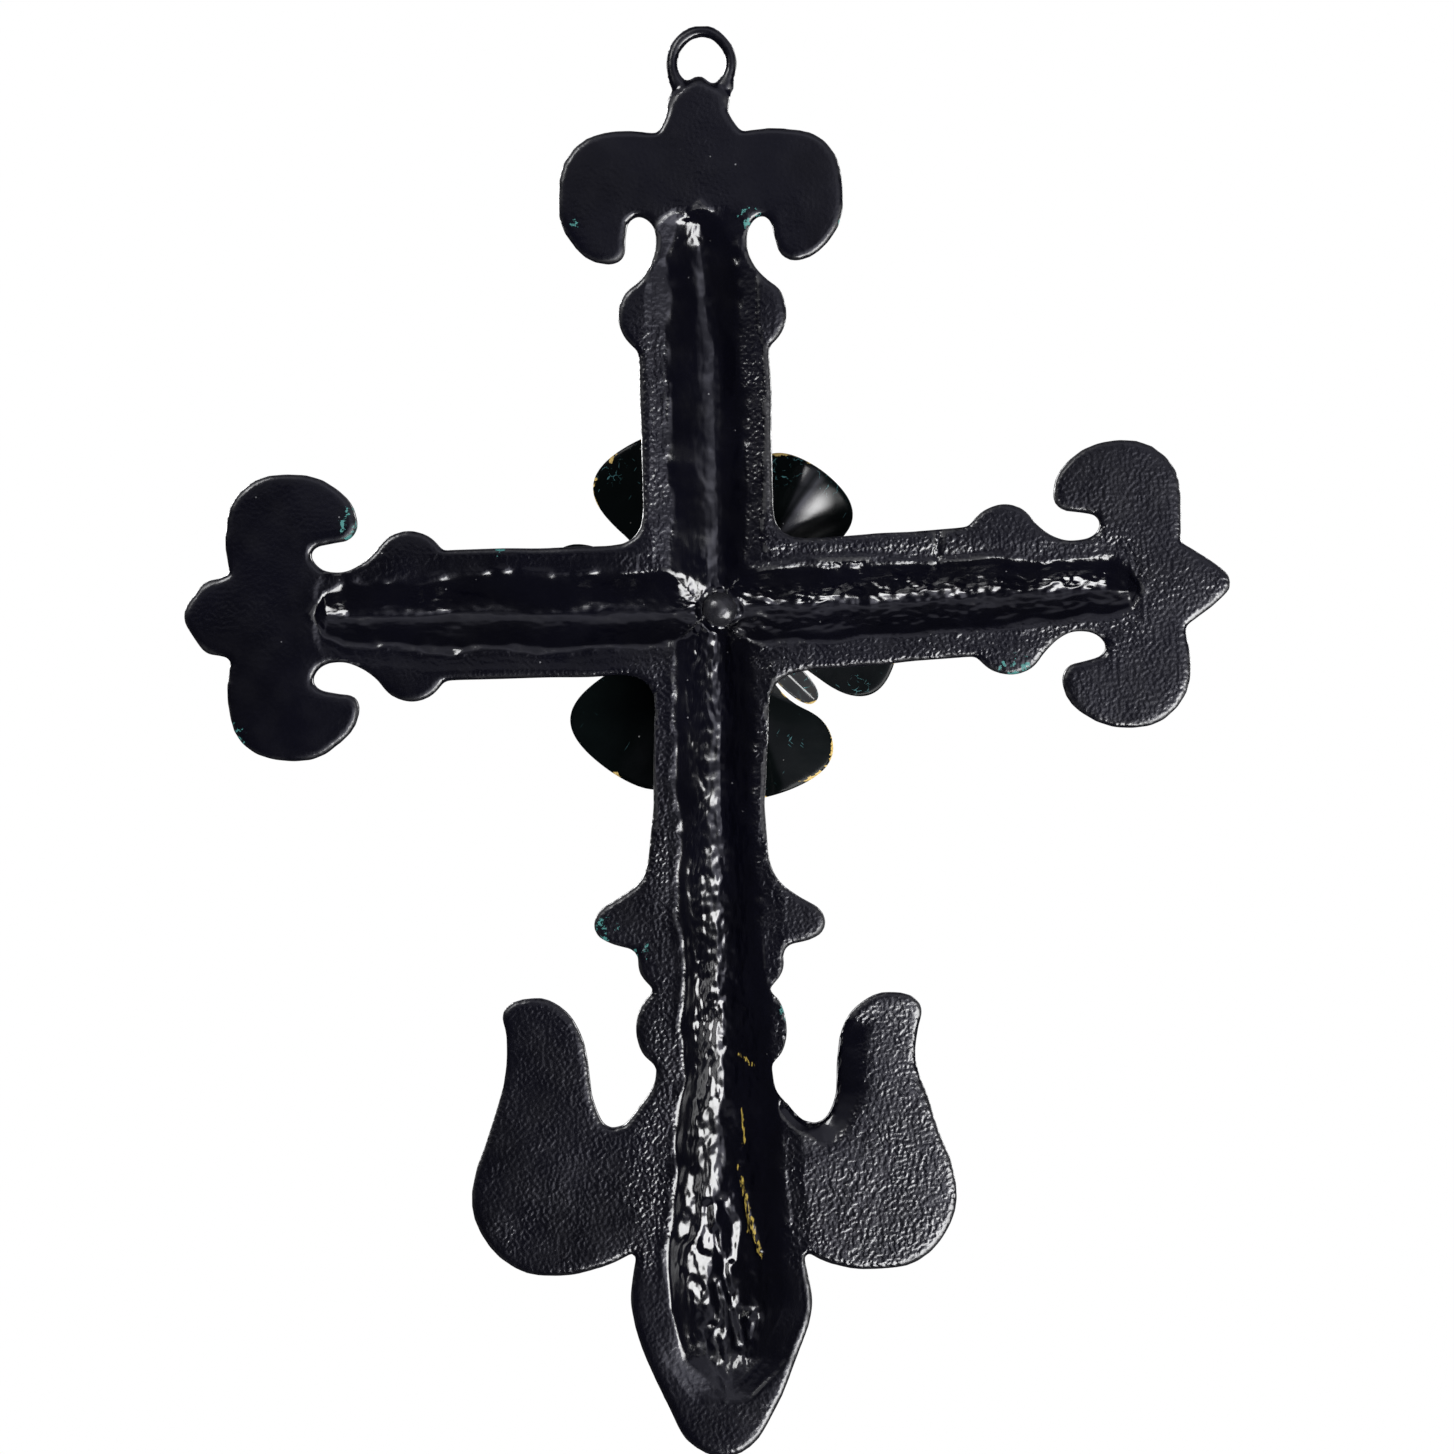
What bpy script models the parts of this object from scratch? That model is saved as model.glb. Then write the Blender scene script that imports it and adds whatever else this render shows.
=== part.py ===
"""A cast iron wall cross with fleur-de-lis ends and a stamped flower, hung by the ring on its top leaf.

Metres, +Z up. The origin is the middle of the ring's hole. The ornamental front faces -Y, and the
flat back, which lies on the wall and has a hollow channel along each arm, faces +Y. Left and right
in the names are as seen from the back.
"""

import math
from collections import namedtuple

import bmesh
import bpy
from mathutils import Matrix, Vector

MM = 0.001

# The crossing and the arms' flange
FLANGE_THICKNESS = 4.5 * MM
ARM_HALF_WIDTH = 15.7 * MM
SHAFT_HALF_WIDTH = 13.6 * MM
CORNER_FILLET = 8.5 * MM

# The collar's round knobs, one on each side of a small arm
COLLAR_START = 62.5 * MM    # from the middle of the crossing
COLLAR_LENGTH = 16.5 * MM
COLLAR_STAND = 4.8 * MM

# The small fleur-de-lis beyond a collar
FLEUR_LENGTH = 47.5 * MM
FLEUR_HALF_WIDTH = 34.5 * MM
# Each landmark of one half: its share of the fleur's length, its share of the half width, a corner or not
FLEUR_LOBE = (
    (0.09, 0.350, False),    # neck
    (0.20, 0.320, False),    # notch behind the hook
    (0.31, 0.375, False),
    (0.32, 0.470, False),
    (0.22, 0.520, False),    # hook's tip
    (0.12, 0.555, False),
    (0.09, 0.670, False),    # lobe
    (0.18, 0.880, False),
    (0.44, 1.000, False),
    (0.69, 0.870, False),
    (0.765, 0.580, False),
)
FLEUR_LEAF = (
    (0.745, 0.290, True),    # valley beside the lobe
    (0.83, 0.225, False),
    (0.92, 0.140, False),
)

# The large foot: a pair of spurs, a bead, a pair of horned lobes and a pointed blade
SPUR_START = 59.0 * MM
SPUR_LENGTH = 32.4 * MM
SPUR_STAND = 13.7 * MM
SPUR_LINE = (
    (0.00, 0.07, False),
    (0.18, 0.20, False),
    (0.32, 0.62, False),
    (0.44, 0.99, False),    # spur's tip
    (0.58, 0.98, False),
    (0.65, 0.70, False),
    (0.70, 0.31, False),    # waist bump
    (0.86, 0.26, False),
)
BEAD_LENGTH = 19.2 * MM
BEAD_STAND = 4.6 * MM
LOBE_LENGTH = 43.5 * MM
LOBE_STAND = 44.8 * MM
LOBE_LINE = (
    (0.19, 0.085, False),
    (0.31, 0.246, False),    # crook between shaft and horn
    (0.20, 0.335, False),
    (-0.02, 0.368, False),
    (-0.23, 0.408, False),
    (-0.37, 0.520, False),
    (-0.41, 0.660, False),    # horn's crown
    (-0.35, 0.820, False),    # horn's tip
    (-0.22, 0.806, False),
    (-0.04, 0.795, False),
    (0.28, 0.879, False),
    (0.65, 1.000, False),    # belly
    (0.89, 0.953, False),
    (1.08, 0.780, False),
    (1.13, 0.560, False),
    (1.09, 0.312, False),    # underside
)
BLADE_LENGTH = 49.7 * MM
BLADE_HALF_WIDTH = 21.5 * MM
BLADE_LINE = (
    (0.00, 0.915, True),    # cleft beside the lobe
    (0.135, 0.977, False),
    (0.27, 1.00, False),
    (0.55, 0.81, False),
    (0.78, 0.57, False),
    (0.95, 0.30, False),
)
CUT_ALLOWANCE = 0.3 * MM    # kept between shapes whose faces would otherwise lie in one plane
OUTLINE_STEPS = 3    # straight pieces between two landmarks
FILLET_STEPS = 4
KNOB_STEPS = 6
KNOB_SQUARENESS = 0.7    # the power of the sine that a knob follows; less is squarer

# The hollow channel in the back, and the rib on the front that it makes hollow
ARM_RIM = 7.2 * MM    # flat left beside the channel
SHAFT_RIM = 4.4 * MM
BLADE_RIM = 7.4 * MM
CHANNEL_DEPTH_SHARE = 0.80    # of the channel's half width
WALL = 3.6 * MM
RIB_DEPTH_SHARE = 0.86    # of the rib's half width
COLLAR_SWELL = 1.8 * MM    # how far the rib swells at a collar or bead
CHANNEL_PITCH = 11 * MM    # between two points along a channel
CHANNEL_END_STEPS = 5
CHANNEL_END_STRETCH = 1.15    # the round end's length over the channel's half width
RIB_PITCH = 8 * MM
RIB_TIP_HALF_WIDTH = 1 * MM
RIB_TIP_INSET = 2 * MM    # short of the leaf's tip
BAR_SIDES = 3

# Scrolls in relief on the front of the lobes
SCROLL_HEIGHT_SHARE = 0.50
FLEUR_SCROLL_SHARE = 0.174    # of the fleur's half width
FOOT_SCROLL_SHARE = 0.234    # of the lobe's stand
SPUR_BOSS_SHARE = 0.336    # of the spur's stand
SCROLL_SIDES = 2

# The hanging ring
RING_BAR_RADIUS = 1.6 * MM
RING_HOLE_RADIUS = 5.6 * MM
RING_LUMP_RADIUS = 2.0 * MM    # of the lump on each side of the ring's root
RING_LUMP_OUT = 3.4 * MM
RING_TIP_RADIUS = 2.8 * MM    # of the leaf's round tip
RING_TIP_POKE = 0.6 * MM    # how far the leaf reaches into the ring's hole

# The rivet and the flower that it holds
RIVET_SIDE = 2.4 * MM    # right of the middle of the crossing
SHANK_RADIUS = 2.2 * MM
SHANK_CLEARANCE = 0.3 * MM
CONTACT_GAP = 0.3 * MM
BACK_SEAT_RADIUS = 6.2 * MM
BACK_SEAT_DEPTH = 5.4 * MM    # below the flat back
BACK_HEAD_RADIUS = 4.3 * MM
BACK_HEAD_HEIGHT = 2.9 * MM
FRONT_SEAT_RADIUS = 8.5 * MM
FRONT_SEAT_STAND = 1.2 * MM    # proud of the rib's crest
FRONT_HEAD_RADIUS = 6.5 * MM
FRONT_HEAD_HEIGHT = 4.2 * MM
PETAL_THICKNESS = 0.9 * MM
HEAD_STEPS = 6
RIVET_TURNS = 20

# An arm's direction and lean in degrees; how far its collar and lobes stand to the left of its line, as a share
# of the arm's half width; how much further out its collar starts, as a share; its fleur's stretch; and how far
# into the fleur or blade its channel reaches, as a share. The casting isn't quite square.
Arm = namedtuple("Arm", "direction lean sway collar_shift fleur_stretch channel_reach")
ARMS = {
    "right": Arm(0, 2.0, 0.057, 0.0144, 0.955, 0.525),
    "top": Arm(90, 0.4, 0.0, 0.0, 1.00, 0.337),
    "left": Arm(180, -0.1, 0.038, 0.0256, 0.975, 0.317),
    "foot": Arm(270, 0.0, -0.076, 0.0, 1.00, 0.714),
}

# The stamped blanks. Each petal by hand: its axis in degrees, anticlockwise from the right, and its shares of the
# reach and of the cup, because no two were bent alike
Petal = namedtuple("Petal", "axis reach cup")
OUTER_REACH = 48.0 * MM
OUTER_HUB_RADIUS = 8.0 * MM
OUTER_RISE = 4.0 * MM    # how far a petal's tip stands forward of the hub
OUTER_CUP = 4.0 * MM    # how far its two sides stand forward of its middle
OUTER_PETALS = (
    Petal(-11.0, 0.929, 0.6),
    Petal(53.5, 0.885, 1.5),
    Petal(115.5, 0.965, 0.9),
    Petal(176.0, 0.917, 1.0),
    Petal(233.5, 0.992, 0.3),
    Petal(288.5, 0.980, 1.0),
)
INNER_REACH = 32.5 * MM
INNER_HUB_RADIUS = 6.5 * MM
INNER_RISE = 11.0 * MM
INNER_CUP = -2.2 * MM
INNER_PETALS = (Petal(-44.0, 1.0, 1.0), Petal(76.0, 1.0, 1.0), Petal(196.0, 1.0, 1.0))
WIDEST_COLUMN = 20    # degrees between two columns of points round a blank's hub
Blank = namedtuple("Blank", "petals reach hub_radius rise cup half_span squareness rise_power columns rows")
OUTER_BLANK = Blank(OUTER_PETALS, OUTER_REACH, OUTER_HUB_RADIUS, OUTER_RISE, OUTER_CUP, 26.0, 4.5, 0.6, 6, 5)
INNER_BLANK = Blank(INNER_PETALS, INNER_REACH, INNER_HUB_RADIUS, INNER_RISE, INNER_CUP, 9.0, 2.4, 1.25, 4, 4)

# Planes and lengths worked out from the sizes above
BACK_Y = FLANGE_THICKNESS / 2
FRONT_Y = -FLANGE_THICKNESS / 2
FLEUR_START = COLLAR_START + COLLAR_LENGTH
TOP_REACH = FLEUR_START + FLEUR_LENGTH * ARMS["top"].fleur_stretch
RING_DROP = TOP_REACH + RING_HOLE_RADIUS - RING_TIP_POKE
CROSSING = Vector((0, 0, -RING_DROP))
BEAD_START = SPUR_START + SPUR_LENGTH
LOBE_START = BEAD_START + BEAD_LENGTH
BLADE_START = LOBE_START + LOBE_LENGTH
FOOT_REACH = BLADE_START + BLADE_LENGTH
ARM_CHANNEL = ARM_HALF_WIDTH - ARM_RIM
SHAFT_CHANNEL = SHAFT_HALF_WIDTH - SHAFT_RIM
BLADE_CHANNEL = BLADE_HALF_WIDTH - BLADE_RIM
BAR_Y = BACK_Y + CUT_ALLOWANCE
RIB_CREST_Y = BAR_Y - RIB_DEPTH_SHARE * (ARM_CHANNEL + WALL)
FLOWER_SEAT_Y = RIB_CREST_Y - FRONT_SEAT_STAND
OUTER_PETALS_Y = FLOWER_SEAT_Y - CONTACT_GAP
INNER_PETALS_Y = OUTER_PETALS_Y - PETAL_THICKNESS - CONTACT_GAP
FRONT_HEAD_Y = INNER_PETALS_Y - PETAL_THICKNESS - CONTACT_GAP
BACK_HEAD_Y = BACK_Y - BACK_SEAT_DEPTH + CONTACT_GAP
RIVET_AXIS = CROSSING + Vector((-RIVET_SIDE, 0, 0))


def clear_scene():
    for thing in list(bpy.data.objects):
        bpy.data.objects.remove(thing)


def new_collection(name):
    made = bpy.data.collections.new(name)
    bpy.context.scene.collection.children.link(made)
    return made


def enamel(name, colour, roughness, metallic):
    made = bpy.data.materials.new(name)
    made.use_nodes = True
    shader = made.node_tree.nodes["Principled BSDF"]
    shader.inputs["Base Color"].default_value = (*colour, 1)
    shader.inputs["Roughness"].default_value = roughness
    shader.inputs["Metallic"].default_value = metallic
    return made


def to_mesh(source):
    """Replaces a curve by a mesh object of the same shape, in place, its caps welded."""
    bpy.context.view_layer.update()
    graph = bpy.context.evaluated_depsgraph_get()
    mesh = bpy.data.meshes.new_from_object(source.evaluated_get(graph))
    mesh.transform(source.matrix_world)
    edit = bmesh.new()
    edit.from_mesh(mesh)
    bmesh.ops.remove_doubles(edit, verts=edit.verts, dist=0.00001)
    bmesh.ops.recalc_face_normals(edit, faces=edit.faces)
    edit.to_mesh(mesh)
    edit.free()
    name = source.name
    bpy.data.objects.remove(source)
    return bpy.data.objects.new(name, mesh)


def arm_place(arm, along, out, y=0.0):
    """A point in the world from its place on an arm. `out` is to the left of `along`, seen from the back."""
    turn = math.radians(arm.direction + arm.lean)
    right = along * math.cos(turn) - out * math.sin(turn)
    up = along * math.sin(turn) + out * math.cos(turn)
    return CROSSING + Vector((-right, y, up))


def dome(start, length, base, stand):
    """Landmarks of a flattened round knob that stands out from an edge."""
    found = []
    for step in range(1, KNOB_STEPS):
        share = step / KNOB_STEPS
        out = base + stand * math.sin(math.pi * share) ** KNOB_SQUARENESS
        found.append((start + share * length, out, False))
    return found


def scaled(line, start, length, base, stand):
    return [(start + along * length, base + out * stand, corner) for along, out, corner in line]


def sway_of(arm):
    return arm.sway * ARM_HALF_WIDTH


def collar_of(arm):
    return COLLAR_START * (1 + arm.collar_shift)


def small_arm_edge(arm):
    """One edge of a small arm: the collar and lobe, which may stand to one side, and the leaf."""
    length = FLEUR_LENGTH * arm.fleur_stretch
    collar = collar_of(arm)
    start = collar + COLLAR_LENGTH
    lobe = (
        [(collar, ARM_HALF_WIDTH, True)]
        + dome(collar, COLLAR_LENGTH, ARM_HALF_WIDTH, COLLAR_STAND)
        + [(start, ARM_HALF_WIDTH - 0.1 * COLLAR_STAND, False)]
        + scaled(FLEUR_LOBE, start, length, 0, FLEUR_HALF_WIDTH)
    )
    return lobe, scaled(FLEUR_LEAF, start, length, 0, FLEUR_HALF_WIDTH)


def foot_edge():
    """One edge of the foot: the spur, bead and lobe, which may stand to one side, and the blade."""
    lobe = (
        scaled(SPUR_LINE, SPUR_START, SPUR_LENGTH, SHAFT_HALF_WIDTH, SPUR_STAND)
        + [(BEAD_START, SHAFT_HALF_WIDTH, True)]
        + dome(BEAD_START, BEAD_LENGTH, SHAFT_HALF_WIDTH, BEAD_STAND)
        + [(LOBE_START, SHAFT_HALF_WIDTH, False)]
        + scaled(LOBE_LINE, LOBE_START, LOBE_LENGTH, SHAFT_HALF_WIDTH, LOBE_STAND)
    )
    return lobe, scaled(BLADE_LINE, BLADE_START, BLADE_LENGTH, 0, BLADE_HALF_WIDTH)


def reach_of(name):
    if name == "foot":
        return FOOT_REACH
    return collar_of(ARMS[name]) + COLLAR_LENGTH + FLEUR_LENGTH * ARMS[name].fleur_stretch


def root_half_width(name):
    return SHAFT_HALF_WIDTH if name == "foot" else ARM_HALF_WIDTH


def corner_fillet(first, second):
    """The curve between the left edge of one arm and the right edge of the next."""
    away_first = root_half_width(second) + CORNER_FILLET
    away_second = root_half_width(first) + CORNER_FILLET
    start = arm_place(ARMS[first], away_first, root_half_width(first))
    end = arm_place(ARMS[second], away_second, -root_half_width(second))
    elbow = (
        arm_place(ARMS[first], root_half_width(second), root_half_width(first))
        + arm_place(ARMS[second], root_half_width(first), -root_half_width(second))
    ) / 2
    points = []
    for step in range(FILLET_STEPS + 1):
        t = step / FILLET_STEPS
        points.append((start * (1 - t) ** 2 + elbow * 2 * t * (1 - t) + end * t * t, True))
    return points


def casting_outline():
    """The whole outline, anticlockwise as seen from the back: (point, corner) for each landmark."""
    order = ["right", "top", "left", "foot"]
    outline = []
    for name, following in zip(order, order[1:] + order[:1]):
        arm = ARMS[name]
        lobe, leaf = foot_edge() if name == "foot" else small_arm_edge(arm)
        outline += [(arm_place(arm, along, sway_of(arm) - out), corner) for along, out, corner in lobe]
        outline += [(arm_place(arm, along, -out), corner) for along, out, corner in leaf]
        outline.append((arm_place(arm, reach_of(name), 0), False))
        outline += [(arm_place(arm, along, out), corner) for along, out, corner in reversed(leaf)]
        outline += [(arm_place(arm, along, sway_of(arm) + out), corner) for along, out, corner in reversed(lobe)]
        outline += corner_fillet(name, following)
    return outline


def make_flange():
    """The flat flange: the outline as a filled 2D curve, extruded to just past the flat back."""
    curve = bpy.data.curves.new("flange", "CURVE")
    curve.dimensions = "2D"
    curve.fill_mode = "BOTH"
    curve.extrude = (FLANGE_THICKNESS + CUT_ALLOWANCE) / 2
    curve.resolution_u = OUTLINE_STEPS
    landmarks = casting_outline()
    spline = curve.splines.new("BEZIER")
    spline.use_cyclic_u = True
    spline.bezier_points.add(len(landmarks) - 1)
    for target, (place, corner) in zip(spline.bezier_points, landmarks):
        target.co = (place.x, place.z, 0)
        handle = "VECTOR" if corner else "AUTO"
        target.handle_left_type = handle
        target.handle_right_type = handle
    flange = bpy.data.objects.new("cast_cross", curve)
    flange.rotation_euler = (math.pi / 2, 0, 0)
    flange.location.y = CUT_ALLOWANCE / 2
    bpy.context.scene.collection.objects.link(flange)
    return to_mesh(flange)


def make_bar(name, places, radii, y_plane, depth_share, collection, sides=BAR_SIDES):
    """A round bar along a path in the plane y_plane, flattened in Y to depth_share about that plane."""
    curve = bpy.data.curves.new(name, "CURVE")
    curve.dimensions = "3D"
    curve.bevel_depth = 1.0
    curve.bevel_resolution = sides
    curve.use_fill_caps = True
    spline = curve.splines.new("POLY")
    spline.points.add(len(places) - 1)
    for target, place, radius in zip(spline.points, places, radii):
        target.co = (place.x, y_plane, place.z, 1)
        target.radius = radius
    bar = bpy.data.objects.new(name, curve)
    bpy.context.scene.collection.objects.link(bar)
    bar = to_mesh(bar)
    flatten = Matrix.Translation((0, y_plane, 0)) @ Matrix.Diagonal((1, depth_share, 1, 1))
    bar.data.transform(flatten @ Matrix.Translation((0, -y_plane, 0)))
    return helper(bar, collection)


def helper(thing, collection):
    """Puts a shape that only builds another in its collection, out of the render."""
    thing.hide_render = True
    thing.display_type = "WIRE"
    collection.objects.link(thing)
    return thing


def taken_primitive(name):
    """The primitive that was just added, named, and out of the collection that Blender put it in."""
    made = bpy.context.object
    made.name = name
    for holder in list(made.users_collection):
        holder.objects.unlink(made)
    return made


def blended(stations, along):
    """The value at a distance, smoothly between stations of (distance, value)."""
    if along <= stations[0][0]:
        return stations[0][1]
    for (low, first), (high, second) in zip(stations, stations[1:]):
        if along <= high:
            t = (along - low) / (high - low)
            return first + (second - first) * t * t * (3 - 2 * t)
    return stations[-1][1]


def spaced(start, end, pitch):
    count = max(2, round((end - start) / pitch))
    return [start + (end - start) * step / count for step in range(count + 1)]


def channel_stations(name):
    """The channel's half width along an arm, up to where its round end starts."""
    if name == "foot":
        return [
            (0, SHAFT_CHANNEL),
            (BEAD_START, SHAFT_CHANNEL),
            (BLADE_START, BLADE_CHANNEL),
            (BLADE_START + 0.25 * BLADE_LENGTH, BLADE_CHANNEL),
            (FOOT_REACH, 0.35 * BLADE_CHANNEL),
        ]
    return [(0, ARM_CHANNEL), (COLLAR_START, ARM_CHANNEL), (FLEUR_START, 0.82 * ARM_CHANNEL)]


def channel_half(name):
    """(distance, half width) along one arm from the crossing to the channel's round end."""
    stations = channel_stations(name)
    past = BLADE_LENGTH if name == "foot" else FLEUR_LENGTH * ARMS[name].fleur_stretch
    end = reach_of(name) - (1 - ARMS[name].channel_reach) * past
    round_length = blended(stations, end) * CHANNEL_END_STRETCH
    straight = spaced(0, end - round_length, CHANNEL_PITCH)
    found = [(along, blended(stations, along)) for along in straight]
    for step in range(1, CHANNEL_END_STEPS + 1):
        turn = math.pi / 2 * step / CHANNEL_END_STEPS
        along = end - round_length * (1 - math.sin(turn))
        found.append((along, blended(stations, along) * max(math.cos(turn), 0.08)))
    return found


def rib_half(name):
    """(distance, half width) of the front rib along one arm, swelling at the collars."""
    end = reach_of(name) - RIB_TIP_INSET
    if name == "foot":
        stations = [
            (0, SHAFT_CHANNEL + WALL),
            (BEAD_START, SHAFT_CHANNEL + WALL),
            (BLADE_START, BLADE_CHANNEL + WALL),
            (BLADE_START + 0.3 * BLADE_LENGTH, BLADE_CHANNEL + WALL),
            (end, RIB_TIP_HALF_WIDTH),
        ]
        swells = [SPUR_START + 0.5 * SPUR_LENGTH, BEAD_START + BEAD_LENGTH / 2]
    else:
        stations = [
            (0, ARM_CHANNEL + WALL),
            (COLLAR_START + COLLAR_LENGTH, ARM_CHANNEL + WALL),
            (FLEUR_START + 0.16 * FLEUR_LENGTH, 0.80 * (ARM_CHANNEL + WALL)),
            (FLEUR_START + 0.45 * FLEUR_LENGTH, 0.84 * (ARM_CHANNEL + WALL)),
            (end, RIB_TIP_HALF_WIDTH),
        ]
        swells = [collar_of(ARMS[name]) + COLLAR_LENGTH / 2]
    found = []
    places = spaced(0, end, RIB_PITCH)
    for middle in swells:
        places += [middle + side * share * COLLAR_LENGTH / 2 for side in (-1, 1) for share in (0.0, 0.5, 0.95)]
    for along in sorted(set(places)):
        nearest = min(abs(along - middle) for middle in swells)
        swell = COLLAR_SWELL * math.cos(min(nearest / COLLAR_LENGTH, 0.5) * math.pi)
        found.append((along, blended(stations, along) + swell))
    return found


def through_bar(name, first, second, profile, depth_share, collection):
    """A bar along two facing arms, its middle just past the flat back."""
    line = [(first, along, half) for along, half in reversed(profile(first))]
    line += [(second, along, half) for along, half in profile(second)[1:]]
    places = [arm_place(ARMS[arm], along, 0) for arm, along, _ in line]
    return make_bar(name, places, [half for _, _, half in line], BAR_Y, depth_share, collection)


def smooth_path(points, steps):
    """Points and radii along a smooth curve through hand-chosen ones, given as (along, out, radius)."""
    ends = [points[0]] + points + [points[-1]]
    found = []
    for a, b, c, d in zip(ends, ends[1:], ends[2:], ends[3:]):
        for step in range(steps):
            t = step / steps
            found.append(tuple(
                0.5 * (2 * q + (r - p) * t + (2 * p - 5 * q + 4 * r - s) * t**2 + (3 * q - p - 3 * r + s) * t**3)
                for p, q, r, s in zip(a, b, c, d)
            ))
    found.append(points[-1])
    return found


def fleur_scroll(arm):
    """A C-scroll in relief on one lobe, from beside the leaf round into the hook."""
    start = collar_of(arm) + COLLAR_LENGTH
    length = FLEUR_LENGTH * arm.fleur_stretch
    width = FLEUR_HALF_WIDTH
    radius = FLEUR_SCROLL_SHARE * width
    shares = [(0.58, 0.28, 0.7), (0.60, 0.50, 1.0), (0.52, 0.72, 1.05), (0.34, 0.78, 0.95), (0.22, 0.68, 0.65)]
    return [(start + along * length, out * width, size * radius) for along, out, size in shares]


def foot_scroll(_arm):
    """A flame in relief on one foot lobe, from beside the blade up into the horn."""
    radius = FOOT_SCROLL_SHARE * LOBE_STAND
    shares = [(0.88, 0.28, 0.75), (0.82, 0.52, 1.0), (0.55, 0.66, 1.0), (0.22, 0.64, 0.75), (-0.05, 0.58, 0.5),
              (-0.24, 0.62, 0.3)]
    return [
        (LOBE_START + along * LOBE_LENGTH, SHAFT_HALF_WIDTH + out * LOBE_STAND, size * radius)
        for along, out, size in shares
    ]


def spur_boss(_arm):
    """A boss in relief on one spur, out to its tip."""
    radius = SPUR_BOSS_SHARE * SPUR_STAND
    shares = [(0.36, 0.0, 1.0), (0.48, 0.45, 1.0), (0.51, 0.72, 0.5)]
    return [
        (SPUR_START + along * SPUR_LENGTH, SHAFT_HALF_WIDTH + out * SPUR_STAND, size * radius)
        for along, out, size in shares
    ]


def make_scrolls(collection):
    """Every scroll and boss on the front, a pair on each arm."""
    kinds = [(name, fleur_scroll, 3) for name in ("right", "top", "left")]
    kinds += [("foot", foot_scroll, 3), ("foot", spur_boss, 2)]
    for name, shape, steps in kinds:
        for side in (-1, 1):
            path = smooth_path(shape(ARMS[name]), steps)
            sway = sway_of(ARMS[name])
            places = [arm_place(ARMS[name], along, sway + side * out) for along, out, _ in path]
            radii = [radius for _, _, radius in path]
            label = f"{name}_{shape.__name__}"
            make_bar(label, places, radii, FRONT_Y + CUT_ALLOWANCE, SCROLL_HEIGHT_SHARE, collection, SCROLL_SIDES)


def disc(name, radius, low_y, high_y, collection, segments=24):
    """A round disc or pin along Y on the rivet's axis."""
    bpy.ops.mesh.primitive_cylinder_add(vertices=segments, radius=radius, depth=high_y - low_y)
    made = taken_primitive(name)
    place = Matrix.Translation(RIVET_AXIS + Vector((0, (low_y + high_y) / 2, 0)))
    made.data.transform(place @ Matrix.Rotation(math.pi / 2, 4, "X"))
    return helper(made, collection)


def make_ring(collection):
    """The hanging ring, cast on the top leaf's tip, with a lump on each side of its root."""
    bpy.ops.mesh.primitive_torus_add(
        major_radius=RING_HOLE_RADIUS + RING_BAR_RADIUS,
        minor_radius=RING_BAR_RADIUS,
        major_segments=30,
        minor_segments=8,
    )
    ring = taken_primitive("ring")
    ring.data.transform(Matrix.Rotation(math.pi / 2, 4, "X"))
    helper(ring, collection)
    lump_drop = RING_HOLE_RADIUS + 2 * RING_BAR_RADIUS
    tip_drop = RING_HOLE_RADIUS - RING_TIP_POKE + FLANGE_THICKNESS / 4
    lumps = [(RING_LUMP_RADIUS, lump_drop, side * RING_LUMP_OUT) for side in (-1, 1)]
    for radius, drop, out in lumps + [(RING_TIP_RADIUS, tip_drop, 0)]:
        bpy.ops.mesh.primitive_uv_sphere_add(segments=12, ring_count=8, radius=radius)
        lump = taken_primitive("ring_lump")
        place = Matrix.Translation(arm_place(ARMS["top"], RING_DROP - drop, out))
        lump.data.transform(place @ Matrix.Diagonal((1, FLANGE_THICKNESS / 2 / RING_TIP_RADIUS, 1, 1)))
        helper(lump, collection)


def make_wall_side_cut(collection):
    """A box over everything that would stand behind the flat back."""
    depth = BLADE_HALF_WIDTH + ARM_HALF_WIDTH
    bpy.ops.mesh.primitive_cube_add(size=1)
    box = taken_primitive("wall_side")
    span = 3 * FOOT_REACH
    place = Matrix.Translation((0, BACK_Y + depth / 2, -RING_DROP))
    box.data.transform(place @ Matrix.Diagonal((span, depth, span, 1)))
    return helper(box, collection)


def add_boolean(thing, operation, collection):
    modifier = thing.modifiers.new(collection.name, "BOOLEAN")
    modifier.operation = operation
    modifier.operand_type = "COLLECTION"
    modifier.collection = collection
    modifier.solver = "EXACT"


def make_casting(collection):
    """The iron casting: flange, front relief, ring, the channels cut from the back, and the rivet's seats."""
    casting = make_flange()
    collection.objects.link(casting)
    reliefs = new_collection("front_relief")
    through_bar("upright_rib", "top", "foot", rib_half, RIB_DEPTH_SHARE, reliefs)
    through_bar("crossbar_rib", "left", "right", rib_half, RIB_DEPTH_SHARE, reliefs)
    make_scrolls(reliefs)
    make_ring(reliefs)
    disc("flower_seat", FRONT_SEAT_RADIUS, FLOWER_SEAT_Y, FRONT_Y - CUT_ALLOWANCE, reliefs)
    hollows = new_collection("back_hollows")
    through_bar("upright_channel", "top", "foot", channel_half, CHANNEL_DEPTH_SHARE, hollows)
    through_bar("crossbar_channel", "left", "right", channel_half, CHANNEL_DEPTH_SHARE, hollows)
    make_wall_side_cut(hollows)
    seats = new_collection("rivet_seat")
    disc("rivet_back_seat", BACK_SEAT_RADIUS, RIB_CREST_Y + WALL / 2, BACK_Y - BACK_SEAT_DEPTH, seats)
    holes = new_collection("rivet_hole")
    disc("rivet_hole", SHANK_RADIUS + SHANK_CLEARANCE, FLOWER_SEAT_Y - WALL, BACK_Y, holes)
    add_boolean(casting, "UNION", reliefs)
    add_boolean(casting, "DIFFERENCE", hollows)
    add_boolean(casting, "UNION", seats)
    add_boolean(casting, "DIFFERENCE", holes)
    casting.data.materials.append(enamel("black_enamel", (0.014, 0.014, 0.019), 0.34, 0.0))
    return casting


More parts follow.
